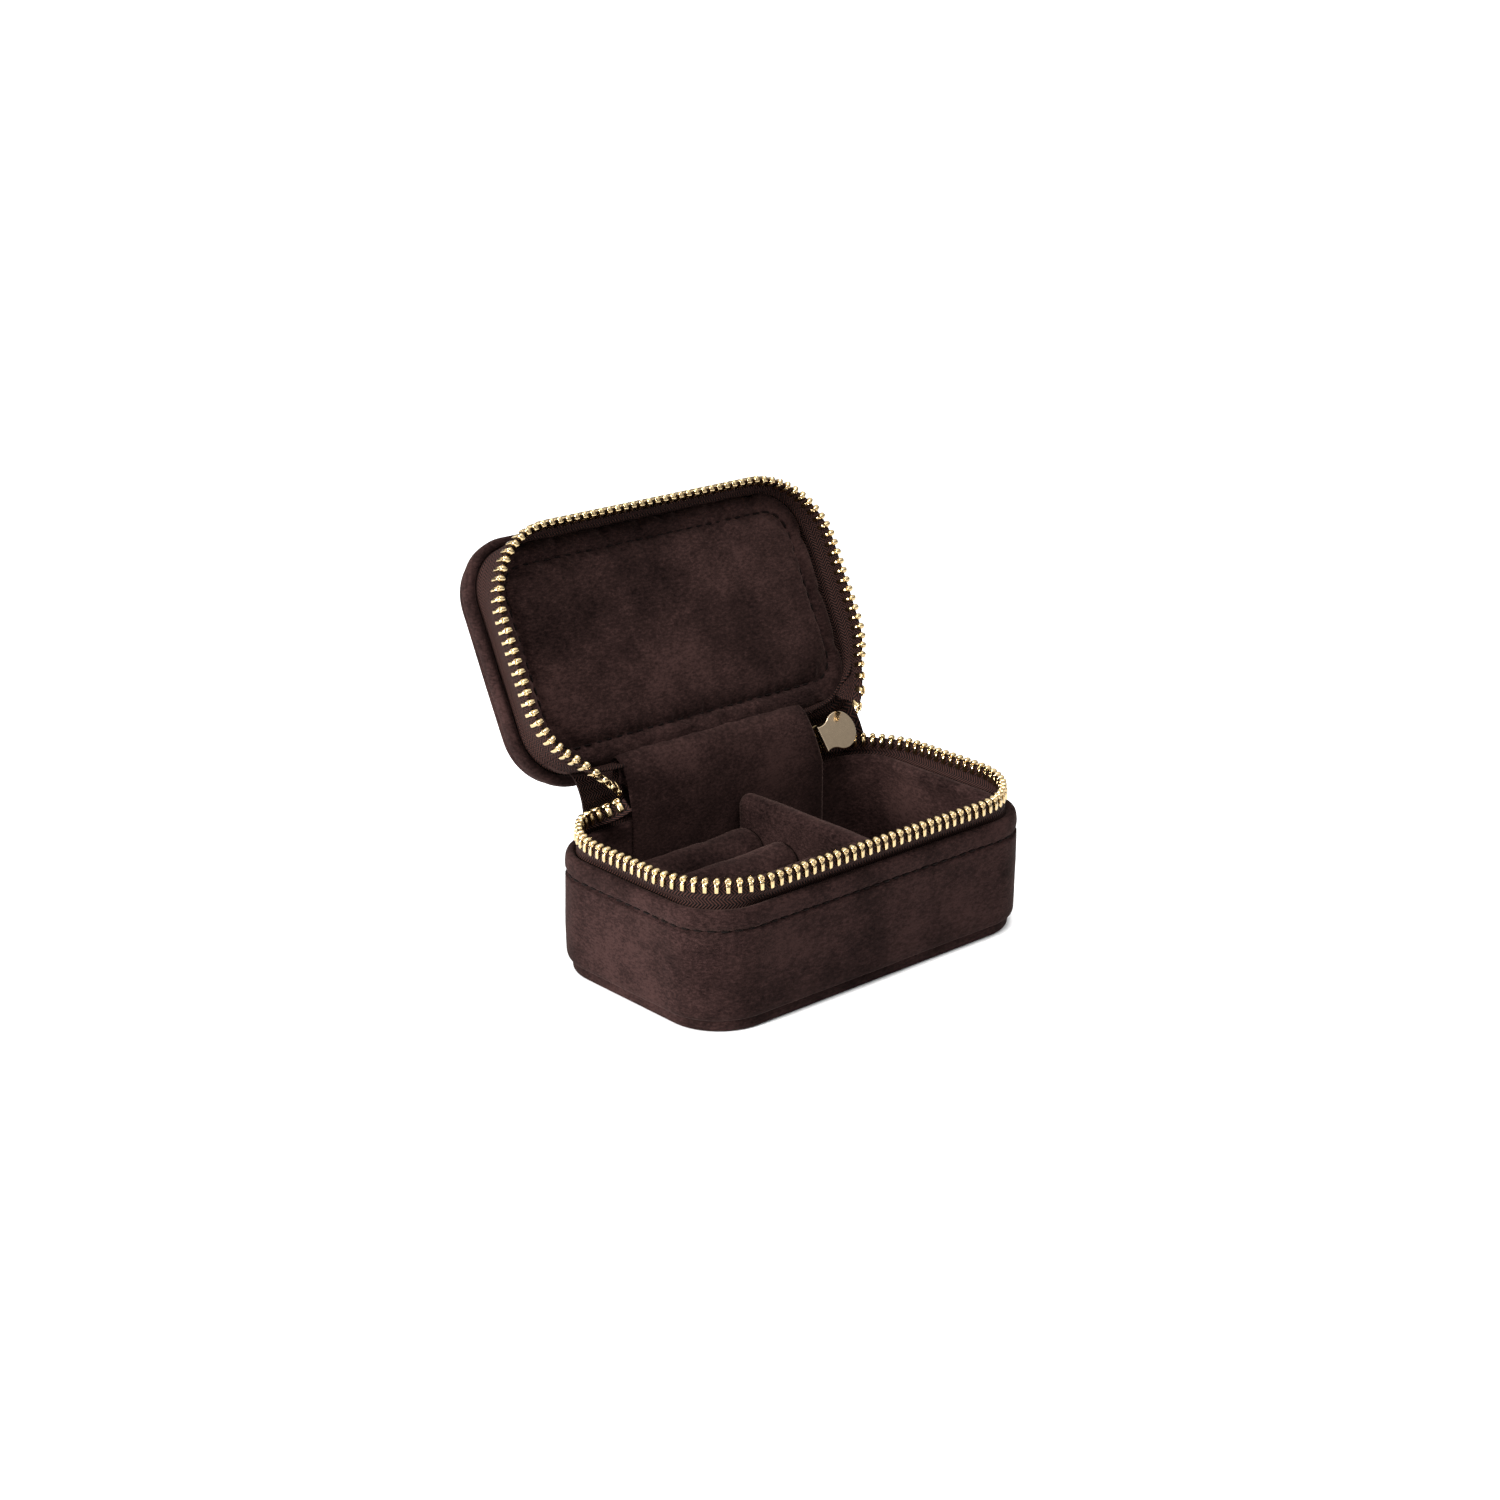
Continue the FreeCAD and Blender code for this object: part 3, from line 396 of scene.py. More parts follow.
# ---------------------------------------------------------------- velvet walls and plates
def wall_piece(tray):
    foot = (CLOSING if tray == "base" else LID_DEPTH) - PLATE
    rim, seam = RIM[tray], RIM[tray] + STITCH_AT
    middle = (seam + foot) / 2
    points = [(2.35, rim + 2.8), (2.38, rim + 1.4), (2.1, rim + 0.35), (1.4, rim + 0.0), (0.65, rim + 0.1),
              (0.18, rim + 0.6)]
    if tray == "base":
        points += [(-0.02, rim + 1.4), (-0.12, rim + 2.4), (-0.08, rim + 3.4), (0.06, seam - 0.6),
                   (0.40, seam - 0.22), (0.70, seam), (0.40, seam + 0.22), (0.05, seam + 0.6),
                   (-0.10, seam + 1.4), (-0.16, middle), (-0.06, foot - 2.4)]
    else:
        points += [(0.0, rim + 1.2)]
    points += [(0.08, foot - 1.0), (0.35, foot - 0.35), (0.9, foot - 0.02), (2.2, foot)]
    profile = eased(points, 3)

    def relief(run, inset, distance, rows):
        near = np.exp(-((distance - seam) / 1.1) ** 2)
        pulled = np.cos(2 * math.pi * run / STITCH_PITCH)
        gathers = near * (0.10 * pulled + 0.10 * ripple(rows, 5.5, 3))
        soft = 0.13 * ripple(rows, 26, 11 if tray == "base" else 12) + 0.05 * ripple(rows, 8, 5)
        inner = np.clip((1.3 - inset) / 1.0, 0, 1)
        return (soft + gathers) * inner - 0.05 * near * inner

    rows = in_place(swept(profile, 620, tray, relief), tray)
    piece = grid_piece(f"{tray}_velvet_wall", rows, OUTER, BODY[tray],
                       wrap=(True, False), solid=False)
    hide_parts(f"{tray}_wall_cover")


def rings(insets, heights, radius_of, tray, fineness=1.0):
    """Rings of points, each the outline drawn in by an inset, at a height.  Every ring has the same
    number of points on each of its sides and corners, so the rings' points line up."""
    shares = [round(number * fineness) for number in (36, 16, 30, 16, 72, 16, 30, 16, 36)]
    rows = np.empty((len(insets), sum(shares), 3))
    for index, inset in enumerate(insets):
        radius = radius_of(inset)
        sx, sy, quarter = LENGTH / 2 - inset - radius, DEPTH / 2 - inset - radius, radius * math.pi / 2
        lengths = [sx, quarter, 2 * sy, quarter, 2 * sx, quarter, 2 * sy, quarter, sx]
        runs, start = [], 0.0
        for share, length in zip(shares, lengths):
            runs.append(start + np.arange(share) * length / share)
            start += length
        place, _, _ = outline(np.concatenate(runs), inset, radius)
        rows[index, :, :2] = place
        rows[index, :, 2] = height(tray, heights[index])
    return rows


def strip_cap(first, count):
    """Faces that close a ring by joining each point of its back half to the one in front of it."""
    faces, half, quarter = [], count // 2, count // 4
    for index in range(-quarter, quarter):
        corners = [index % count, (index + 1) % count, (half - index - 1) % count, (half - index) % count]
        faces.append(tuple(first + corner for corner in dict.fromkeys(corners)))
    return [face for face in faces if len(face) > 2]


def plate_piece(tray):
    face = CLOSING if tray == "base" else LID_DEPTH
    crown = 0.0 if tray == "base" else 0.35
    back = face - PLATE
    edge = [(6.0, back), (2.0, back), (1.35, back + 0.1), (PLATE_INSET, back + 0.7),
            (PLATE_INSET - 0.02, face - 1.0), (PLATE_INSET + 0.1, face - 0.5),
            (PLATE_INSET + 0.42, face - 0.12), (PLATE_INSET + 1.0, face)]
    middle = [(inset, face + crown * min(1, (inset - 2) / 9)) for inset in np.linspace(3.2, 27.0, 22)]
    steps = np.vstack([eased(edge, 3), middle])
    rows = rings(steps[:, 0], steps[:, 1], lambda inset: max(CORNER - inset, 1.2), tray, 1.5)
    if tray == "lid":
        rows[..., 2] += 0.10 * ripple(rows, 24, 21) * (steps[:, 1] > face - 0.6)[:, None]
    piece = grid_piece(f"{tray}_velvet_plate", in_place(rows, tray), OUTER, BODY[tray],
                       wrap=(False, True), caps="strips")
    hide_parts(f"{tray}_plate_cover")


# ---------------------------------------------------------------- stitches
def thread_bar(length, radius, sag):
    """A short stitch along X whose ends dive along -Y, into the cloth."""
    sides, steps = 7, np.linspace(-1, 1, 9)
    round_ends = np.sqrt(np.clip(1 - np.abs(steps) ** 6, 0.08, 1))
    angle = np.arange(sides) * 2 * math.pi / sides
    rows = np.empty((len(steps), sides, 3))
    for index, t in enumerate(steps):
        rows[index, :, 0] = t * length / 2
        rows[index, :, 1] = np.cos(angle) * radius * round_ends[index] - sag * t ** 4
        rows[index, :, 2] = np.sin(angle) * radius * round_ends[index]
    faces, _ = grid_faces(len(steps), sides, False, True)
    faces += [tuple(range(sides)), tuple((len(steps) - 1) * sides + j for j in reversed(range(sides)))]
    return rows.reshape(-1, 3), faces


def merged(copies, faces):
    """Points and faces of many placed copies of one small part."""
    size = copies.shape[1]
    every = [tuple(index * size + corner for corner in face)
             for index in range(len(copies)) for face in faces]
    return copies.reshape(-1, 3), every


def along_outline(points, runs, inset, radius, level, tilt=None):
    """Copies of a part set on the outline, its X along it and its Y outwards."""
    place, outward, heading = outline(runs, inset, radius)
    tangent = np.stack([np.cos(heading), np.sin(heading)], -1)
    x, y, z = points[:, 0], points[:, 1], points[:, 2]
    lift = z[None, :] if tilt is None else z[None, :] + tilt[:, None] * x[None, :]
    plan = place[:, None] + x[None, :, None] * tangent[:, None] + y[None, :, None] * outward[:, None]
    return np.concatenate([plan, (level + lift)[..., None] * np.ones((len(runs), len(points), 1))], -1)


def wall_stitches():
    total = outline_length(0.2, CORNER - 0.2)
    count = round(total / STITCH_PITCH)
    runs = np.arange(count) * total / count
    bar, faces = thread_bar(STITCH_LENGTH, 0.21, 0.35)
    tilt = random.normal(0, 0.045, count)
    copies = along_outline(bar, runs, 0.40, CORNER - 0.40, height("base", RIM["base"] + STITCH_AT), tilt)
    points, every = merged(copies, faces)
    piece = new_piece("base_top_stitching", points, every, THREAD, "root")
    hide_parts("base_wall_stitching")


# ---------------------------------------------------------------- zip: weights of the flared ends
# Near the hinge the two rows draw together, to the bottom stop on the left and the slider on the
# right.  Each end piece is bent by a weight that runs along X, from its own tray to the other.
CHAIN_TOTAL = outline_length(CHAIN_INSET, CHAIN_RADIUS)
LEFT_FROM, RIGHT_FROM = -44.0, 47.0
ZIP_END, TAPE_END = 29.9, 31.2
SLIDER_BAY = 42.4
SLIDER_MOUTH = {"base": 39.2, "lid": 40.4}
MEETS = {("base", "left"): -14.8, ("lid", "left"): -20.5,
         ("base", "right"): -12.0, ("lid", "right"): 32.0}
RUN_RIGHT, RUN_LEFT = run_at_back(RIGHT_FROM), CHAIN_TOTAL - run_at_back(-LEFT_FROM)


def zip_ends(tray):
    """For each side: its name, the X where it leaves its own tray, and where it would meet the other."""
    return [("left", LEFT_FROM, MEETS[tray, "left"]), ("right", RIGHT_FROM, MEETS[tray, "right"])]


def bent(points, tray, leaves, meets):
    """Points of a flared end drawn shut, bent to where they are at rest."""
    t = np.clip((points[..., 0] - leaves) / (meets - leaves), 0, 1)
    share = t * t * (3 - 2 * t)
    return turned_open(points, share if tray == "base" else 1 - share)


def blend_end(piece, tray):
    """Bakes a flared end's placement into its mesh; its bend between its own tray and the other is made
    before, in bent.
    """
    if tray == "base":
        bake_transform(piece)
    else:
        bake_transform(piece)


# ---------------------------------------------------------------- zip teeth
TOOTH_HEAD_DROP = 0.64


def tooth_shape():
    """One tooth: a round head with a dimple each side, on a leg that clamps the tape."""
    faces, points = [], []
    sides = 16
    angle = np.arange(sides) * 2 * math.pi / sides
    lathe = [(0.16, 0.40), (0.30, 0.46), (0.40, 0.74), (0.50, 0.80), (0.66, 0.72), (0.76, 0.48),
             (0.79, 0.15)]
    lathe += [(radius, -depth) for radius, depth in reversed(lathe)]
    head = np.empty((len(lathe), sides, 3))
    for index, (radius, depth) in enumerate(lathe):
        head[index, :, 0] = radius * 0.98 * np.cos(angle)
        head[index, :, 1] = depth
        head[index, :, 2] = radius * np.sin(angle) - TOOTH_HEAD_DROP
    points.append(head.reshape(-1, 3))
    made, _ = grid_faces(len(lathe), sides, False, True)
    faces += made
    faces += [tuple(range(sides)), tuple((len(lathe) - 1) * sides + j for j in reversed(range(sides)))]
    base = len(lathe) * sides
    levels = [(-0.75, 0.40, 0.60), (-1.05, 0.42, 0.74), (-1.35, 0.44, 0.98), (-1.8, 0.46, 1.06),
              (-2.9, 0.46, 1.08), (-3.12, 0.40, 1.02), (-3.2, 0.30, 0.92)]
    corner = [(1, 0.72), (0.9, 0.93), (0.74, 1)]
    loop = corner + [(-x, y) for x, y in reversed(corner)]
    loop += [(-x, -y) for x, y in loop]
    leg = np.array([[(x * wide, y * deep, z) for x, y in loop] for z, wide, deep in levels])
    points.append(leg.reshape(-1, 3))
    made, _ = grid_faces(len(levels), len(loop), False, True)
    made += [tuple(range(len(loop))),
             tuple((len(levels) - 1) * len(loop) + j for j in reversed(range(len(loop))))]
    faces += [tuple(base + corner_index for corner_index in face) for face in made]
    return np.vstack(points), faces


def chain_pieces(tray):
    points, faces = tooth_shape()
    if tray == "lid":
        points = points * np.array([1, 1, -1])
    first = run_at_back(SLIDER_BAY) + (TOOTH_PITCH / 2 if tray == "base" else TOOTH_PITCH)
    before = int((first - run_at_back(SLIDER_MOUTH[tray])) / TOOTH_PITCH)
    last = CHAIN_TOTAL - run_at_back(ZIP_END)
    runs = np.arange(first - before * TOOTH_PITCH, last - TOOTH_PITCH / 2, TOOTH_PITCH)
    tilt = random.normal(0, 0.03, len(runs))
    copies = along_outline(points, runs, CHAIN_INSET, CHAIN_RADIUS, CLOSING, tilt)
    middle = (runs >= RUN_RIGHT) & (runs <= RUN_LEFT)
    made, every = merged(in_place(copies[middle], tray), faces)
    piece = new_piece(f"{tray}_teeth", made, every, GOLD, BODY[tray])
    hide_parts(f"{tray}_zip_teeth")
    for side, leaves, meets in zip_ends(tray):
        chosen = runs > RUN_LEFT if side == "left" else runs < RUN_RIGHT
        made, every = merged(bent(copies[chosen], tray, leaves, meets), faces)
        end = new_piece(f"{tray}_teeth_{side}", made, every, GOLD, None)
        blend_end(end, tray)
        if side == "left":
            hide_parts(f"{tray}_zip_end_stop")


# ---------------------------------------------------------------- zip tape
TAPE_EDGE, TAPE_LIP, TAPE_LEAN = 0.9, 4.3, 3.3
PULL_ROOM, PULL_ROOM_FROM, PULL_ROOM_EASE = 2.6, 45.0, 3.0
WEB_LAP = 0.6
TAPE_ROWS = {"base": [5.3, RIM["base"], 8.0, 10.5, 12.8], "lid": [6.4, 8.6, RIM["lid"], 12.0, 13.8]}


def tape_rows(fractions, distances, tray):
    """The tape's two faces at each fraction of the way round.  Below the lean it follows the wall,
    and above it the teeth; the two lines have their own corner radii."""
    rows = []
    for side in (0.0, 1.0):
        hem_inset, hem_radius = TAPE_INSET + side * TAPE, CORNER - TAPE_INSET - side * TAPE
        top_inset = CHAIN_INSET + (side - 0.5) * TAPE
        top_radius = CHAIN_RADIUS - (side - 0.5) * TAPE
        hem, _, _ = outline(fractions * outline_length(hem_inset, hem_radius), hem_inset, hem_radius)
        top, _, _ = outline(fractions * outline_length(top_inset, top_radius), top_inset, top_radius)
        order = distances if side == 0 else distances[::-1]
        for distance in order:
            t = np.clip((RIM[tray] - distance) / (RIM[tray] - TAPE_LEAN), 0, 1)
            t = t * t * (3 - 2 * t)
            plan = hem * (1 - t) + top * t
            rows.append(np.concatenate([plan, np.full((len(fractions), 1), height(tray, distance))], -1))
    return np.stack(rows, 1)


def tape_part(tray, span, count, distances):
    """A length of tape drawn shut, and where each of its points is on the weave."""
    fractions = np.linspace(*span, count)
    rows = tape_rows(fractions, np.asarray(distances), tray)
    rows[..., 2] += 0.06 * ripple(rows, 7, 31)
    along = fractions * CHAIN_TOTAL
    steps = list(distances) + list(distances[::-1])
    return rows, (np.append(along, along[-1]), np.append(steps, steps[0]))


def over_the_pull(x):
    """The lowest that the lid's hem comes when shut: it rises over the pull, which lies in the bay."""
    t = np.clip((PULL_ROOM_FROM - x) / PULL_ROOM_EASE, 0, 1)
    return CLOSING + TAPE_LIP + PULL_ROOM * t * t * (3 - 2 * t)


def tape_pieces(tray):
    right, left = RUN_RIGHT / CHAIN_TOTAL, RUN_LEFT / CHAIN_TOTAL
    from_hinge, end = HINGE_HALF / CHAIN_TOTAL, run_at_back(TAPE_END) / CHAIN_TOTAL
    full = [TAPE_EDGE, 1.6, 2.4, TAPE_LEAN, 3.8, TAPE_LIP, *TAPE_ROWS[tray]]
    below, above = full[5:], full[:6]
    rows, uv = tape_part(tray, (right, left), 420, full)
    piece = grid_piece(f"{tray}_tape", in_place(rows, tray), WOVEN, BODY[tray],
                       wrap=(False, True), caps=True, uv_scale=uv)
    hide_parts(f"{tray}_zip_tape")
    lips = {"left": (left, 1 - end), "right": (run_at_back(SLIDER_MOUTH[tray]) / CHAIN_TOTAL, right)}
    hems = {"left": (left, 1 - from_hinge), "right": (from_hinge, right)}
    for side, leaves, meets in zip_ends(tray):
        rows, uv = tape_part(tray, hems[side], 50, below)
        if tray == "lid" and side == "right":
            rows[..., 2] = np.maximum(rows[..., 2], over_the_pull(rows[..., 0]))
        grid_piece(f"{tray}_tape_hem_{side}", in_place(rows, tray), WOVEN, BODY[tray],
                   wrap=(False, True), caps=True, uv_scale=uv)
        rows, uv = tape_part(tray, lips[side], 70, above)
        lip = grid_piece(f"{tray}_tape_{side}", bent(rows, tray, leaves, meets), WOVEN, None,
                         wrap=(False, True), caps=True, uv_scale=uv)
        blend_end(lip, tray)
        tape_web(tray, side, lips[side], leaves, meets)


def tape_web(tray, side, span, leaves, meets):
    """The tape between the still hem and the lip that is drawn to the other tray.  Over the pull it
    laps past the hem's edge, so that no gap shows between them."""
    fractions = np.linspace(*span, 60)
    shut = tape_rows(fractions, np.array([TAPE_LIP - 0.25, TAPE_LIP + 0.25]), tray)
    if tray == "lid" and side == "right":
        shut[:, 1, 2] = np.maximum(shut[:, 1, 2], over_the_pull(shut[:, 1, 0]) + WEB_LAP)
    lip = bent(shut[:, 0], tray, leaves, meets)
    hem = in_place(shut[:, 1], tray)
    t = np.linspace(0, 1, 12)[None, :, None]
    face = hem[:, None] * (1 - t) + lip[:, None] * t
    sag = np.linalg.norm(lip - hem, axis=1)[:, None] * np.sin(math.pi * t[..., 0]) * 0.10
    face[..., 2] -= sag
    face[..., 0] += 0.15 * ripple(face, 6, 33)
    inner = face + np.array([0, -0.35, 0])
    rows = np.concatenate([face, inner[:, ::-1]], 1)
    along, across = fractions * CHAIN_TOTAL, np.linspace(0, 7, 12)
    steps = np.concatenate([across, across[::-1], across[:1]])
    piece = grid_piece(f"{tray}_tape_web_{side}", rows, WOVEN, None, wrap=(False, True),
                       caps=True, uv_scale=(np.append(along, along[-1]), steps))
    if tray == "base":
        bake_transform(piece)
    else:
        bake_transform(piece)


# ---------------------------------------------------------------- cloth under pressure
def inflate(piece, held, pressure, slack, cap, frames=18):
    """Lets a skin swell under pressure and wrinkle with its slack.  It's simulated at many times its
    size, because cloth this small hardly moves, and no point goes further than the cap."""
    bigger = 12.0
    mesh = piece.data
    rest = np.empty(len(mesh.vertices) * 3)
    mesh.vertices.foreach_get("co", rest)
    mesh.vertices.foreach_set("co", rest * bigger)
    group = piece.vertex_groups.new(name="held")
    group.add([int(index) for index in held], 1.0, "ADD")
    cloth = piece.modifiers.new("Cloth", "CLOTH")
    settings = cloth.settings
    settings.quality = 6
    settings.mass = 0.15
    settings.tension_stiffness = 12
    settings.compression_stiffness = 12
    settings.shear_stiffness = 4
    settings.bending_stiffness = 0.06
    settings.use_pressure = True
    settings.uniform_pressure_force = pressure
    settings.shrink_min = -slack
    settings.vertex_group_mass = "held"
    settings.effector_weights.gravity = 0
    cloth.collision_settings.use_collision = False
    cloth.point_cache.frame_start, cloth.point_cache.frame_end = 1, frames
    for number in range(1, frames + 1):
        scene.frame_set(number)
    shown = piece.evaluated_get(bpy.context.evaluated_depsgraph_get())
    swollen = np.empty(len(mesh.vertices) * 3)
    shown.data.vertices.foreach_get("co", swollen)
    moved = (swollen / bigger - rest).reshape(-1, 3)
    size = np.linalg.norm(moved, axis=1, keepdims=True)
    limit = cap * MM
    moved *= np.where(size > 1e-12, limit * np.tanh(size / limit) / np.maximum(size, 1e-12), 0)
    piece.modifiers.remove(cloth)
    piece.vertex_groups.clear()
    mesh.vertices.foreach_set("co", rest + moved.ravel())
    mesh.update()
    scene.frame_set(1)


def points_of(piece):
    found = np.empty(len(piece.data.vertices) * 3)
    piece.data.vertices.foreach_get("co", found)
    return found.reshape(-1, 3) / MM


def set_points(piece, points):
    piece.data.vertices.foreach_set("co", (points * MM).ravel())
    piece.data.update()


def refine(piece, levels=1):
    """Applies a subdivision to the mesh."""
    modifier = piece.modifiers.new("Subdivision", "SUBSURF")
    modifier.levels = levels
    modifier.render_levels = levels
    with bpy.context.temp_override(object=piece, active_object=piece):
        bpy.ops.object.modifier_apply(modifier=modifier.name)
    piece.data.polygons.foreach_set("use_smooth", [True] * len(piece.data.polygons))


# ---------------------------------------------------------------- padded panel in the lid
def panel_radius(inset):
    return float(np.clip(CORNER - inset, 1.2, None))


def lid_panel():
    """Drawn shut, its face down, then simulated, stitched and turned open."""
    back = LID_DEPTH - PLATE
    seam_inset = PANEL_INSET + PANEL_STITCH
    edge = eased([(3.9, back), (PANEL_INSET, back - 0.8), (3.25, 9.6), (3.3, 8.6), (3.65, 7.7), (4.35, 7.05),
                  (5.2, 6.75), (6.2, 6.72), (7.1, 7.0), (seam_inset, 7.35), (8.3, 7.05), (9.4, 6.75)], 2)
    middle = [(inset, 6.7 - 0.35 * min(1, (inset - 10) / 9)) for inset in np.linspace(10.4, 27.0, 15)]
    steps = np.vstack([edge, middle])
    rows = rings(steps[:, 0], steps[:, 1], panel_radius, "lid")
    count = rows.shape[1]
    # Along the hinge the filling is pushed down over the band, more so to the right.
    lower = np.clip((rows[..., 1] - 14) / 10, 0, 1) * np.clip(1 - (steps[:, 0] - 3) / 5, 0, 1)[:, None]
    lower *= 0.7 + 0.4 * np.clip(rows[..., 0] / 40, -1, 1)
    rows[..., 1] += 1.1 * lower
    rows[..., 2] -= 0.7 * lower
    piece = grid_piece("lid_padded_panel", rows, LINING_PAINTED_LIGHT, None, wrap=(False, True),
                       caps="strips")
    seam = int(np.argmin(np.abs(steps[:, 0] - seam_inset) + (steps[:, 1] > 8) * 99))
    held = list(range(2 * count)) + list(range(seam * count, (seam + 1) * count))
    inflate(piece, held, 5.0, 0.05, 1.1)
    refine(piece)
    points = points_of(piece)
    # The seam's channel, pulled down at each stitch, with short gathers on both sides of it.
    half_x, half_y = LENGTH / 2 - CORNER, DEPTH / 2 - CORNER
    out_x = np.maximum(np.abs(points[:, 0]) - half_x, 0)
    out_y = np.maximum(np.abs(points[:, 1]) - half_y, 0)
    inset = np.where((out_x > 0) & (out_y > 0), CORNER - np.hypot(out_x, out_y),
                     np.minimum(LENGTH / 2 - np.abs(points[:, 0]), DEPTH / 2 - np.abs(points[:, 1])))
    near = np.exp(-((inset - seam_inset) / 0.75) ** 2)
    wide = np.exp(-((inset - seam_inset) / 2.4) ** 2)
    turn = np.arctan2(points[:, 1], points[:, 0])
    run = np.where(np.abs(points[:, 1]) > np.abs(points[:, 0]) * DEPTH / LENGTH, points[:, 0], points[:, 1])
    face = points[:, 2] < CLOSING + 8.5
    gathers = np.sin(2 * math.pi * run / STITCH_PITCH + 1.5 * np.sin(3 * turn)) * 0.10
    gathers = gathers + 0.16 * ripple(points * np.array([1, 1, 0]), 6.5, 41) + 0.10 * ripple(points, 3.4, 42)
    points[:, 2] += np.where(face, 0.42 * near + wide * gathers + 0.10 * ripple(points, 19, 43), 0)
    set_points(piece, turned_open(points))
    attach(piece, "lid")
    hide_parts("lid_panel_cover", "lid_panel_foam")
    radius = panel_radius(seam_inset)
    total = outline_length(seam_inset, radius)
    number = round(total / STITCH_PITCH)
    bar, faces = thread_bar(STITCH_LENGTH, 0.2, 0.3)
    flat = np.stack([bar[:, 0], bar[:, 2], -bar[:, 1]], -1)
    runs = np.arange(number) * total / number
    copies = along_outline(flat, runs, seam_inset, radius, CLOSING + 7.62)
    made, every = merged(turned_open(copies), faces)
    stitches = new_piece("lid_panel_seam", made, every, THREAD, "lid")
    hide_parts("lid_panel_stitching")


# ---------------------------------------------------------------- inside of the base
LINING_ROLL = 0.8


def lining_piece():
    deep = CLOSING - PLATE
    top = CLOSING - LINING_TOP
    profile = eased([(INSIDE, deep), (INSIDE, 22.0), (INSIDE + 0.05, 12.0), (INSIDE + 0.12, top + 2.2),
                     (INSIDE + 0.02, top + 0.9), (4.78, top + 0.15), (4.2, top - 0.1), (3.6, top + 0.12),
                     (3.28, top + 0.8), (3.22, top + 2.2), (3.25, top + 6.5)], 3)

    def relief(run, inset, distance, rows):
        front = np.clip((19 - rows[..., 1]) / 6, 0, 1)
        lip = np.exp(-((distance - top - 1.5) / 1.7) ** 2) * (inset > 4.0) * front
        return 0.10 * ripple(rows, 17, 51) + 0.04 * ripple(rows, 5, 52) - LINING_ROLL * lip

    piece = grid_piece("base_lining", swept(profile, 420, "base", relief), LINING_PAINTED_LIGHT, "root",
                       wrap=(True, False), solid=False)
    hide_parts("base_lining_cover")


def floor_piece():
    insets = np.array([5.2, 5.25, 5.35, 5.6, 6.1, 7.0, 8.5, 10.5, 13, 16, 19, 22, 25, 27])
    drops = np.array([2.2, 1.0, 0.55, 0.28, 0.1, 0.0, -0.05, -0.08, -0.1, -0.1, -0.1, -0.1, -0.1, -0.1])
    rows = rings(insets, CLOSING - FLOOR + drops, panel_radius, "base")
    rows[..., 2] += 0.06 * ripple(rows, 14, 61)
    piece = grid_piece("base_padded_floor", rows, LINING_PAINTED_LIGHT, "root", wrap=(False, True),
                       caps="strips")
    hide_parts("base_floor_pad")


def lining_reach(y):
    """How far the room inside the lining reaches from the middle along X, at a depth y."""
    radius = CORNER - INSIDE
    straight = DEPTH / 2 - INSIDE - radius
    over = np.clip(np.abs(y) - straight, 0, radius - 0.01)
    return LENGTH / 2 - INSIDE - radius + np.sqrt(radius ** 2 - over ** 2)


def bar_rows(half, floor, top, ends, rounding, count):
    """A bar's rows along its length: an upright profile with a round top, drawn in at both ends."""
    arch = np.linspace(math.pi, 0, 15)
    levels = np.linspace(floor, top - half, 6)[:-1]
    profile = [(-half, z) for z in levels]
    profile += [(half * math.cos(a), top - half + half * math.sin(a)) for a in arch]
    profile += [(half, z) for z in levels[::-1]]
    profile = np.array(profile)
    stops = np.concatenate([rounding * (1 - np.cos(np.linspace(0, math.pi / 2, 6)[:-1])),
                            np.linspace(rounding, ends[1] - ends[0] - rounding, count),
                            ends[1] - ends[0] - rounding * (1 - np.cos(np.linspace(math.pi / 2, 0, 6)[1:]))])
    rows = np.empty((len(stops), len(profile), 3))
    for index, stop in enumerate(stops):
        near = min(stop, ends[1] - ends[0] - stop)
        drawn = rounding - math.sqrt(max(rounding ** 2 - (rounding - min(near, rounding)) ** 2, 0))
        rows[index, :, 0] = ends[0] + stop
        rows[index, :, 1] = profile[:, 0] * (1 - drawn / half)
        rows[index, :, 2] = floor + (profile[:, 1] - floor) * (1 - drawn / (top - floor))
    return rows


def ring_rolls():
    for place in ("front", "front_middle", "rear_middle", "rear"):
        low, high = box_mm(f"ring_roll_{place}_cover")
        middle, half = (low[1] + high[1]) / 2, (high[1] - low[1]) / 2
        rows = bar_rows(half, FLOOR - 0.2, high[2], (low[0], high[0]), 1.6, 44)
        rows[..., 1] += middle
        share = (high[0] - rows[..., 0]) / (high[0] - low[0])
        reach = np.minimum(lining_reach(rows[..., 1]) - 0.4, -low[0])
        rows[..., 0] = high[0] - share * (high[0] + reach)
        steps = rows.shape[1]
        name = f"ring_roll_{place}"
        piece = grid_piece(name, rows, LINING_PAINTED_LIGHT, None, wrap=(False, True), caps=True)
        held = [i * steps + j for i in range(len(rows)) for j in (0, 1, steps - 2, steps - 1)]
        inflate(piece, held, 3.0, 0.04, 0.30, 14)
        refine(piece)
        points = points_of(piece)
        uneven = 0.12 * ripple(points, 13, 71) + 0.05 * ripple(points, 4, 72)
        points[:, 2] += uneven * (points[:, 2] > FLOOR + 3)
        points[:, 1] = middle + np.clip(points[:, 1] - middle, -half - 0.2, half + 0.2)
        set_points(piece, points)
        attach(piece, "root")
        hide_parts(f"ring_roll_{place}_cover", f"ring_roll_{place}_foam")


DIVIDER_SWELL = 0.55


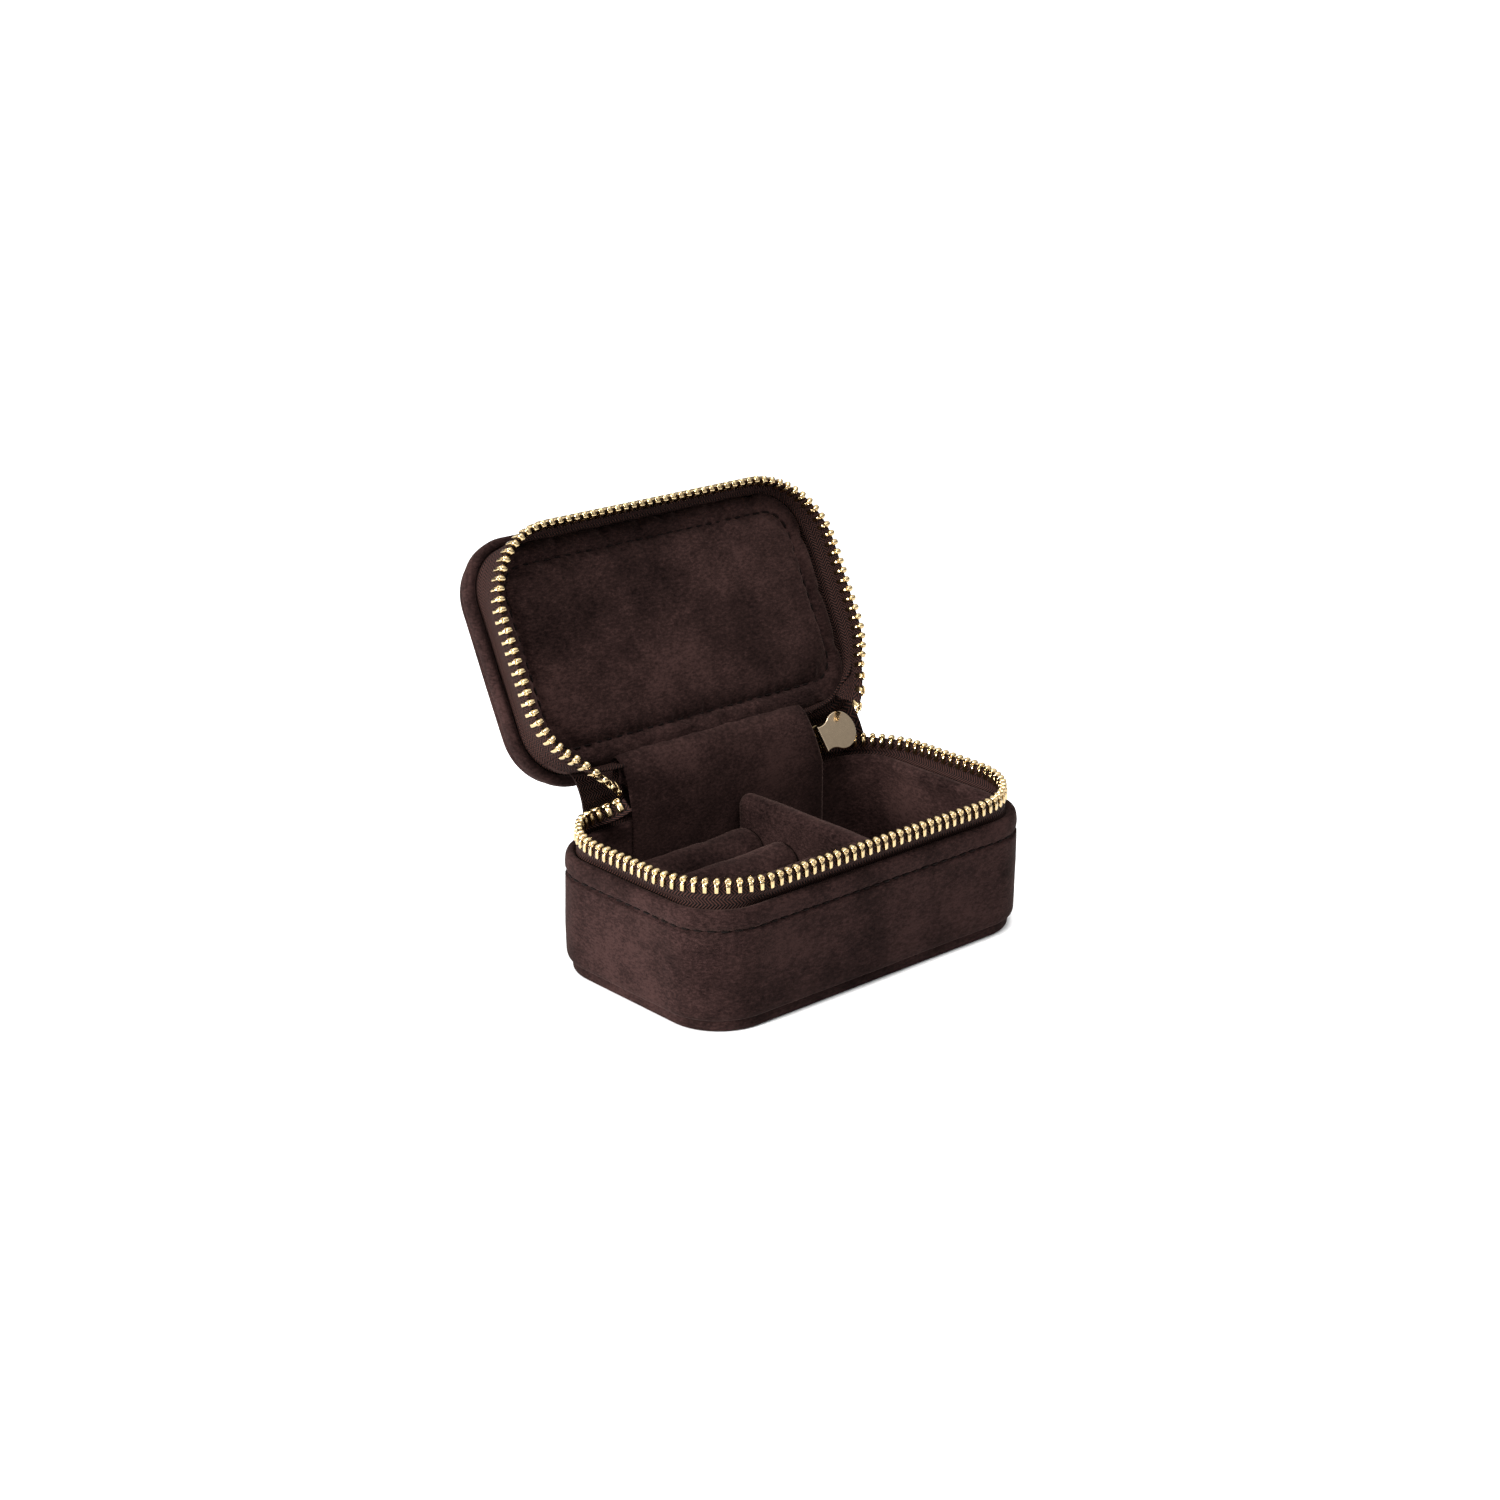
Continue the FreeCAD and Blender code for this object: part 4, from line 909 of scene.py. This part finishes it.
def divider_piece():
    low, high = box_mm("divider_cover")
    middle, half = (low[0] + high[0]) / 2, (high[0] - low[0]) / 2 + DIVIDER_SWELL
    rows = bar_rows(half, FLOOR - 0.2, high[2] + 0.3, (low[1], high[1]), 2.4, 60)
    turned = np.stack([middle - rows[..., 1], rows[..., 0], rows[..., 2]], -1)
    along = (turned[..., 1] - low[1]) / (high[1] - low[1])
    ends = 1 - np.abs(2 * along - 1) ** 8
    upper = turned[..., 2] > FLOOR + 2
    turned[..., 2] += upper * (0.25 * ends - 0.15 + 0.10 * ripple(turned, 12, 81))
    turned[..., 0] += 0.10 * ripple(turned, 16, 82)
    piece = grid_piece("padded_divider", turned, LINING_PAINTED_LIGHT, "root", wrap=(False, True),
                       caps=True)
    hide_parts("divider_cover")


# ---------------------------------------------------------------- fabric hinge
def band_piece(name, path, left, right_of, thickness, material, nodes, bow):
    """A band of velvet along the hinge: a path in the YZ plane, carried along X."""
    line = eased(path, 9)
    gaps = np.gradient(line, axis=0)
    normals = np.stack([-gaps[:, 1], gaps[:, 0]], -1)
    normals /= np.linalg.norm(normals, axis=1, keepdims=True)
    across = np.linspace(0, 1, 90)
    edge = 1 - np.abs(2 * across - 1) ** 30
    sides = []
    for side in (1, -1):
        rows = np.empty((len(across), len(line), 3))
        for index, t in enumerate(across):
            x = left + t * (right_of(line[:, 1]) - left)
            half = thickness / 2 * max(edge[index], 0.15)
            rows[index, :, 0] = x
            rows[index, :, 1] = line[:, 0] + side * normals[:, 0] * half
            rows[index, :, 2] = line[:, 1] + side * normals[:, 1] * half
        uneven = ripple(rows * np.array([1, 1, 0.4]), 13, 91)
        relief = bow * (1 - (2 * across[:, None] - 1) ** 2) + 0.16 * uneven
        rows[..., 1] -= relief * np.linspace(0.2, 1, len(line))[None, :]
        sides.append(rows)
    rows = np.concatenate([sides[0], sides[1][:, ::-1]], 1)
    piece = grid_piece(name, rows, material, None, wrap=(False, True), caps=True)
    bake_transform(piece)
    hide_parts(*nodes)
    width = float(right_of(line[:, 1]).mean() - left)


def hinge_bands():
    inner_y = DEPTH / 2 - INSIDE - TAPE / 2 - 0.05
    inner = [(inner_y, FLOOR + 0.2), (inner_y, 18.0), (inner_y, 29.0), (24.1, 33.5), (24.9, 37.0),
             (26.0, 40.0), (27.3, 42.0), (29.4, 43.2), (31.6, 43.4)]
    band_piece("hinge_band_inner", inner, -HINGE_HALF, lambda z: np.interp(z, [30, 41], [30.6, 28.3]),
               TAPE, LINING_PAINTED_LIGHT,
               ["hinge_strip_inner"], 0.35)
    outer = [(26.25, 21.5), (26.3, 27.6), (27.3, 29.4), (27.9, 31.5), (28.0, 36.0), (28.05, 39.4),
             (28.5, 41.2), (29.9, 42.2), (32.2, 41.7)]
    band_piece("hinge_band_outer", outer, -HINGE_HALF, lambda z: np.full(len(z), HINGE_HALF),
               TAPE, OUTER,
               ["hinge_strip_outer"], 0.0)


def tape_gussets():
    """Where the zip stops short of the hinge band, its tape turns the corner from rim to rim.  On the
    right it passes behind the slider."""
    left = [(27.2, 24.5), (27.35, 29.2), (27.45, 31.5), (27.6, 34.0), (27.9, 36.2), (28.9, 38.6),
            (30.2, 40.4), (32.0, 41.2)]
    right = [(27.3, 24.5), (27.4, 28.4), (29.9, 30.0), (31.8, 32.0), (32.9, 34.3), (32.8, 36.4),
             (31.4, 38.8), (32.4, 41.2)]
    for side, near, far in (("left", -27.2, -39.0), ("right", 27.6, 45.0)):
        plain, behind = eased(left, 8), eased(right, 8)
        developed = np.append(0, np.cumsum(np.linalg.norm(np.diff(plain, axis=0), axis=1)))
        across = np.linspace(0, 1, 50)
        rows = np.empty((len(across), 2 * len(plain), 3))
        for index, x in enumerate(near + (far - near) * across):
            t = min(np.clip((x - 27.4) / 1.7, 0, 1), np.clip((46.0 - x) / 7.0, 0, 1))
            line = plain + (behind - plain) * t * t * (3 - 2 * t)
            # Past the straight of the wall, each end of the path follows its own tray's corner.
            corner = CORNER - math.sqrt(CORNER ** 2 - max(abs(x) - LENGTH / 2 + CORNER, 0) ** 2)
            share = np.clip((line[:, 1] - 33.0) / 7.5, 0, 1)[:, None]
            inward = np.array([-math.cos(OPEN), math.sin(OPEN)])
            line = line + corner * ((1 - share) * np.array([-1, 0]) + share * inward)
            rows[index, :, 0] = x
            rows[index, :, 1] = np.concatenate([line[:, 0], line[::-1, 0] - 0.45])
            rows[index, :, 2] = np.concatenate([line[:, 1], line[::-1, 1]])
        rows[..., 1] += 0.12 * ripple(rows, 7, 35)
        steps = np.concatenate([developed, developed[::-1], developed[:1]])
        runs = np.append(across, 1) * abs(far - near)
        piece = grid_piece(f"tape_gusset_{side}", rows, WOVEN, None, wrap=(False, True),
                           caps=True, uv_scale=(runs, steps))
        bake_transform(piece)


# ---------------------------------------------------------------- build
for tray_name in ("base", "lid"):
    wall_piece(tray_name)
    plate_piece(tray_name)
    chain_pieces(tray_name)
    tape_pieces(tray_name)
wall_stitches()
lid_panel()
lining_piece()
floor_piece()
ring_rolls()
divider_piece()
hinge_bands()
tape_gussets()

finishes = {"board": CARD, "foam": FOAM, "slider": GOLD, "pull": CHAMPAGNE, "box": GOLD}
for node_name, node in frame["nodes"].items():
    finish = next((finishes[word] for word in finishes if word in node_name), GOLD)
    node.data.materials.clear()
    node.data.materials.append(finish)


# ---------------------------------------------------------------- floor, light and camera
def pale_floor():
    material, tree, shader = new_material("pale_floor", {"Roughness": 0.9, "Specular IOR Level": 0.1})
    place = add(tree, "ShaderNodeTexCoord").outputs["Object"]
    grain = noise_of(tree, place, 6, 2)
    tree.links.new(ramp(tree, grain, [(0.3, (0.90, 0.90, 0.90)), (0.7, (0.93, 0.93, 0.93))]),
                   shader.inputs["Base Color"])
    mesh = bpy.data.meshes.new("floor")
    size = 40.0
    corners = [(-size, -size, 0), (size, -size, 0), (size, size, 0), (-size, size, 0)]
    mesh.from_pydata(corners, [], [(0, 1, 2, 3)])
    mesh.materials.append(material)
    ground = bpy.data.objects.new("floor", mesh)
    ground.location.z = -0.0001
    scene.collection.objects.link(ground)


def softbox(name, place, aim, size, power, colour=(1, 1, 1)):
    light = bpy.data.lights.new(name, "AREA")
    light.shape = "RECTANGLE"
    light.size, light.size_y = size
    light.energy = power
    light.color = colour
    lamp = bpy.data.objects.new(name, light)
    lamp.location = place
    lamp.rotation_euler = (Vector(aim) - Vector(place)).to_track_quat("-Z", "Y").to_euler()
    scene.collection.objects.link(lamp)


pale_floor()
middle_point = (cad_low + cad_high) / 2
softbox("key", (-0.95, 0.06, 0.32), middle_point, (0.35, 0.35), 24.0)
softbox("fill", (0.30, -0.95, 0.45), middle_point, (0.4, 0.3), 0.5)
softbox("top", (-0.1, -0.25, 1.1), middle_point, (0.5, 0.5), 8.0)

world = bpy.data.worlds.new("studio")
scene.world = world
world.use_nodes = True
sky = world.node_tree
aim_of = add(sky, "ShaderNodeTexCoord").outputs["Generated"]
rise = add(sky, "ShaderNodeSeparateXYZ", {0: aim_of}).outputs[2]
glow = ramp(sky, rise, [(0.0, (0.08, 0.08, 0.08)), (0.75, (1.0, 1.0, 1.0)), (0.35, (0.16, 0.16, 0.16))])
sky.links.new(glow, sky.nodes["Background"].inputs["Color"])
sky.nodes["Background"].inputs["Strength"].default_value = 1.7
scene.view_settings.view_transform = "Standard"

VIEW_ANGLE, VIEW_RISE = math.radians(-41.7), math.radians(19.41)
VIEW_DISTANCE, VIEW_TARGET = 0.595, Vector((0.00107, 0.01641, 0.04176))
camera_data = bpy.data.cameras.new("camera")
camera_data.lens = 62.76
camera_data.sensor_width = 36
camera_data.clip_start = 0.01
camera = bpy.data.objects.new("camera", camera_data)
back_from = Vector((math.sin(VIEW_ANGLE) * math.cos(VIEW_RISE), -math.cos(VIEW_ANGLE) * math.cos(VIEW_RISE),
                    math.sin(VIEW_RISE)))
camera.location = VIEW_TARGET + back_from * VIEW_DISTANCE
camera.rotation_mode = "QUATERNION"
camera.rotation_quaternion = (-back_from).to_track_quat("-Z", "Y")
scene.collection.objects.link(camera)
scene.camera = camera
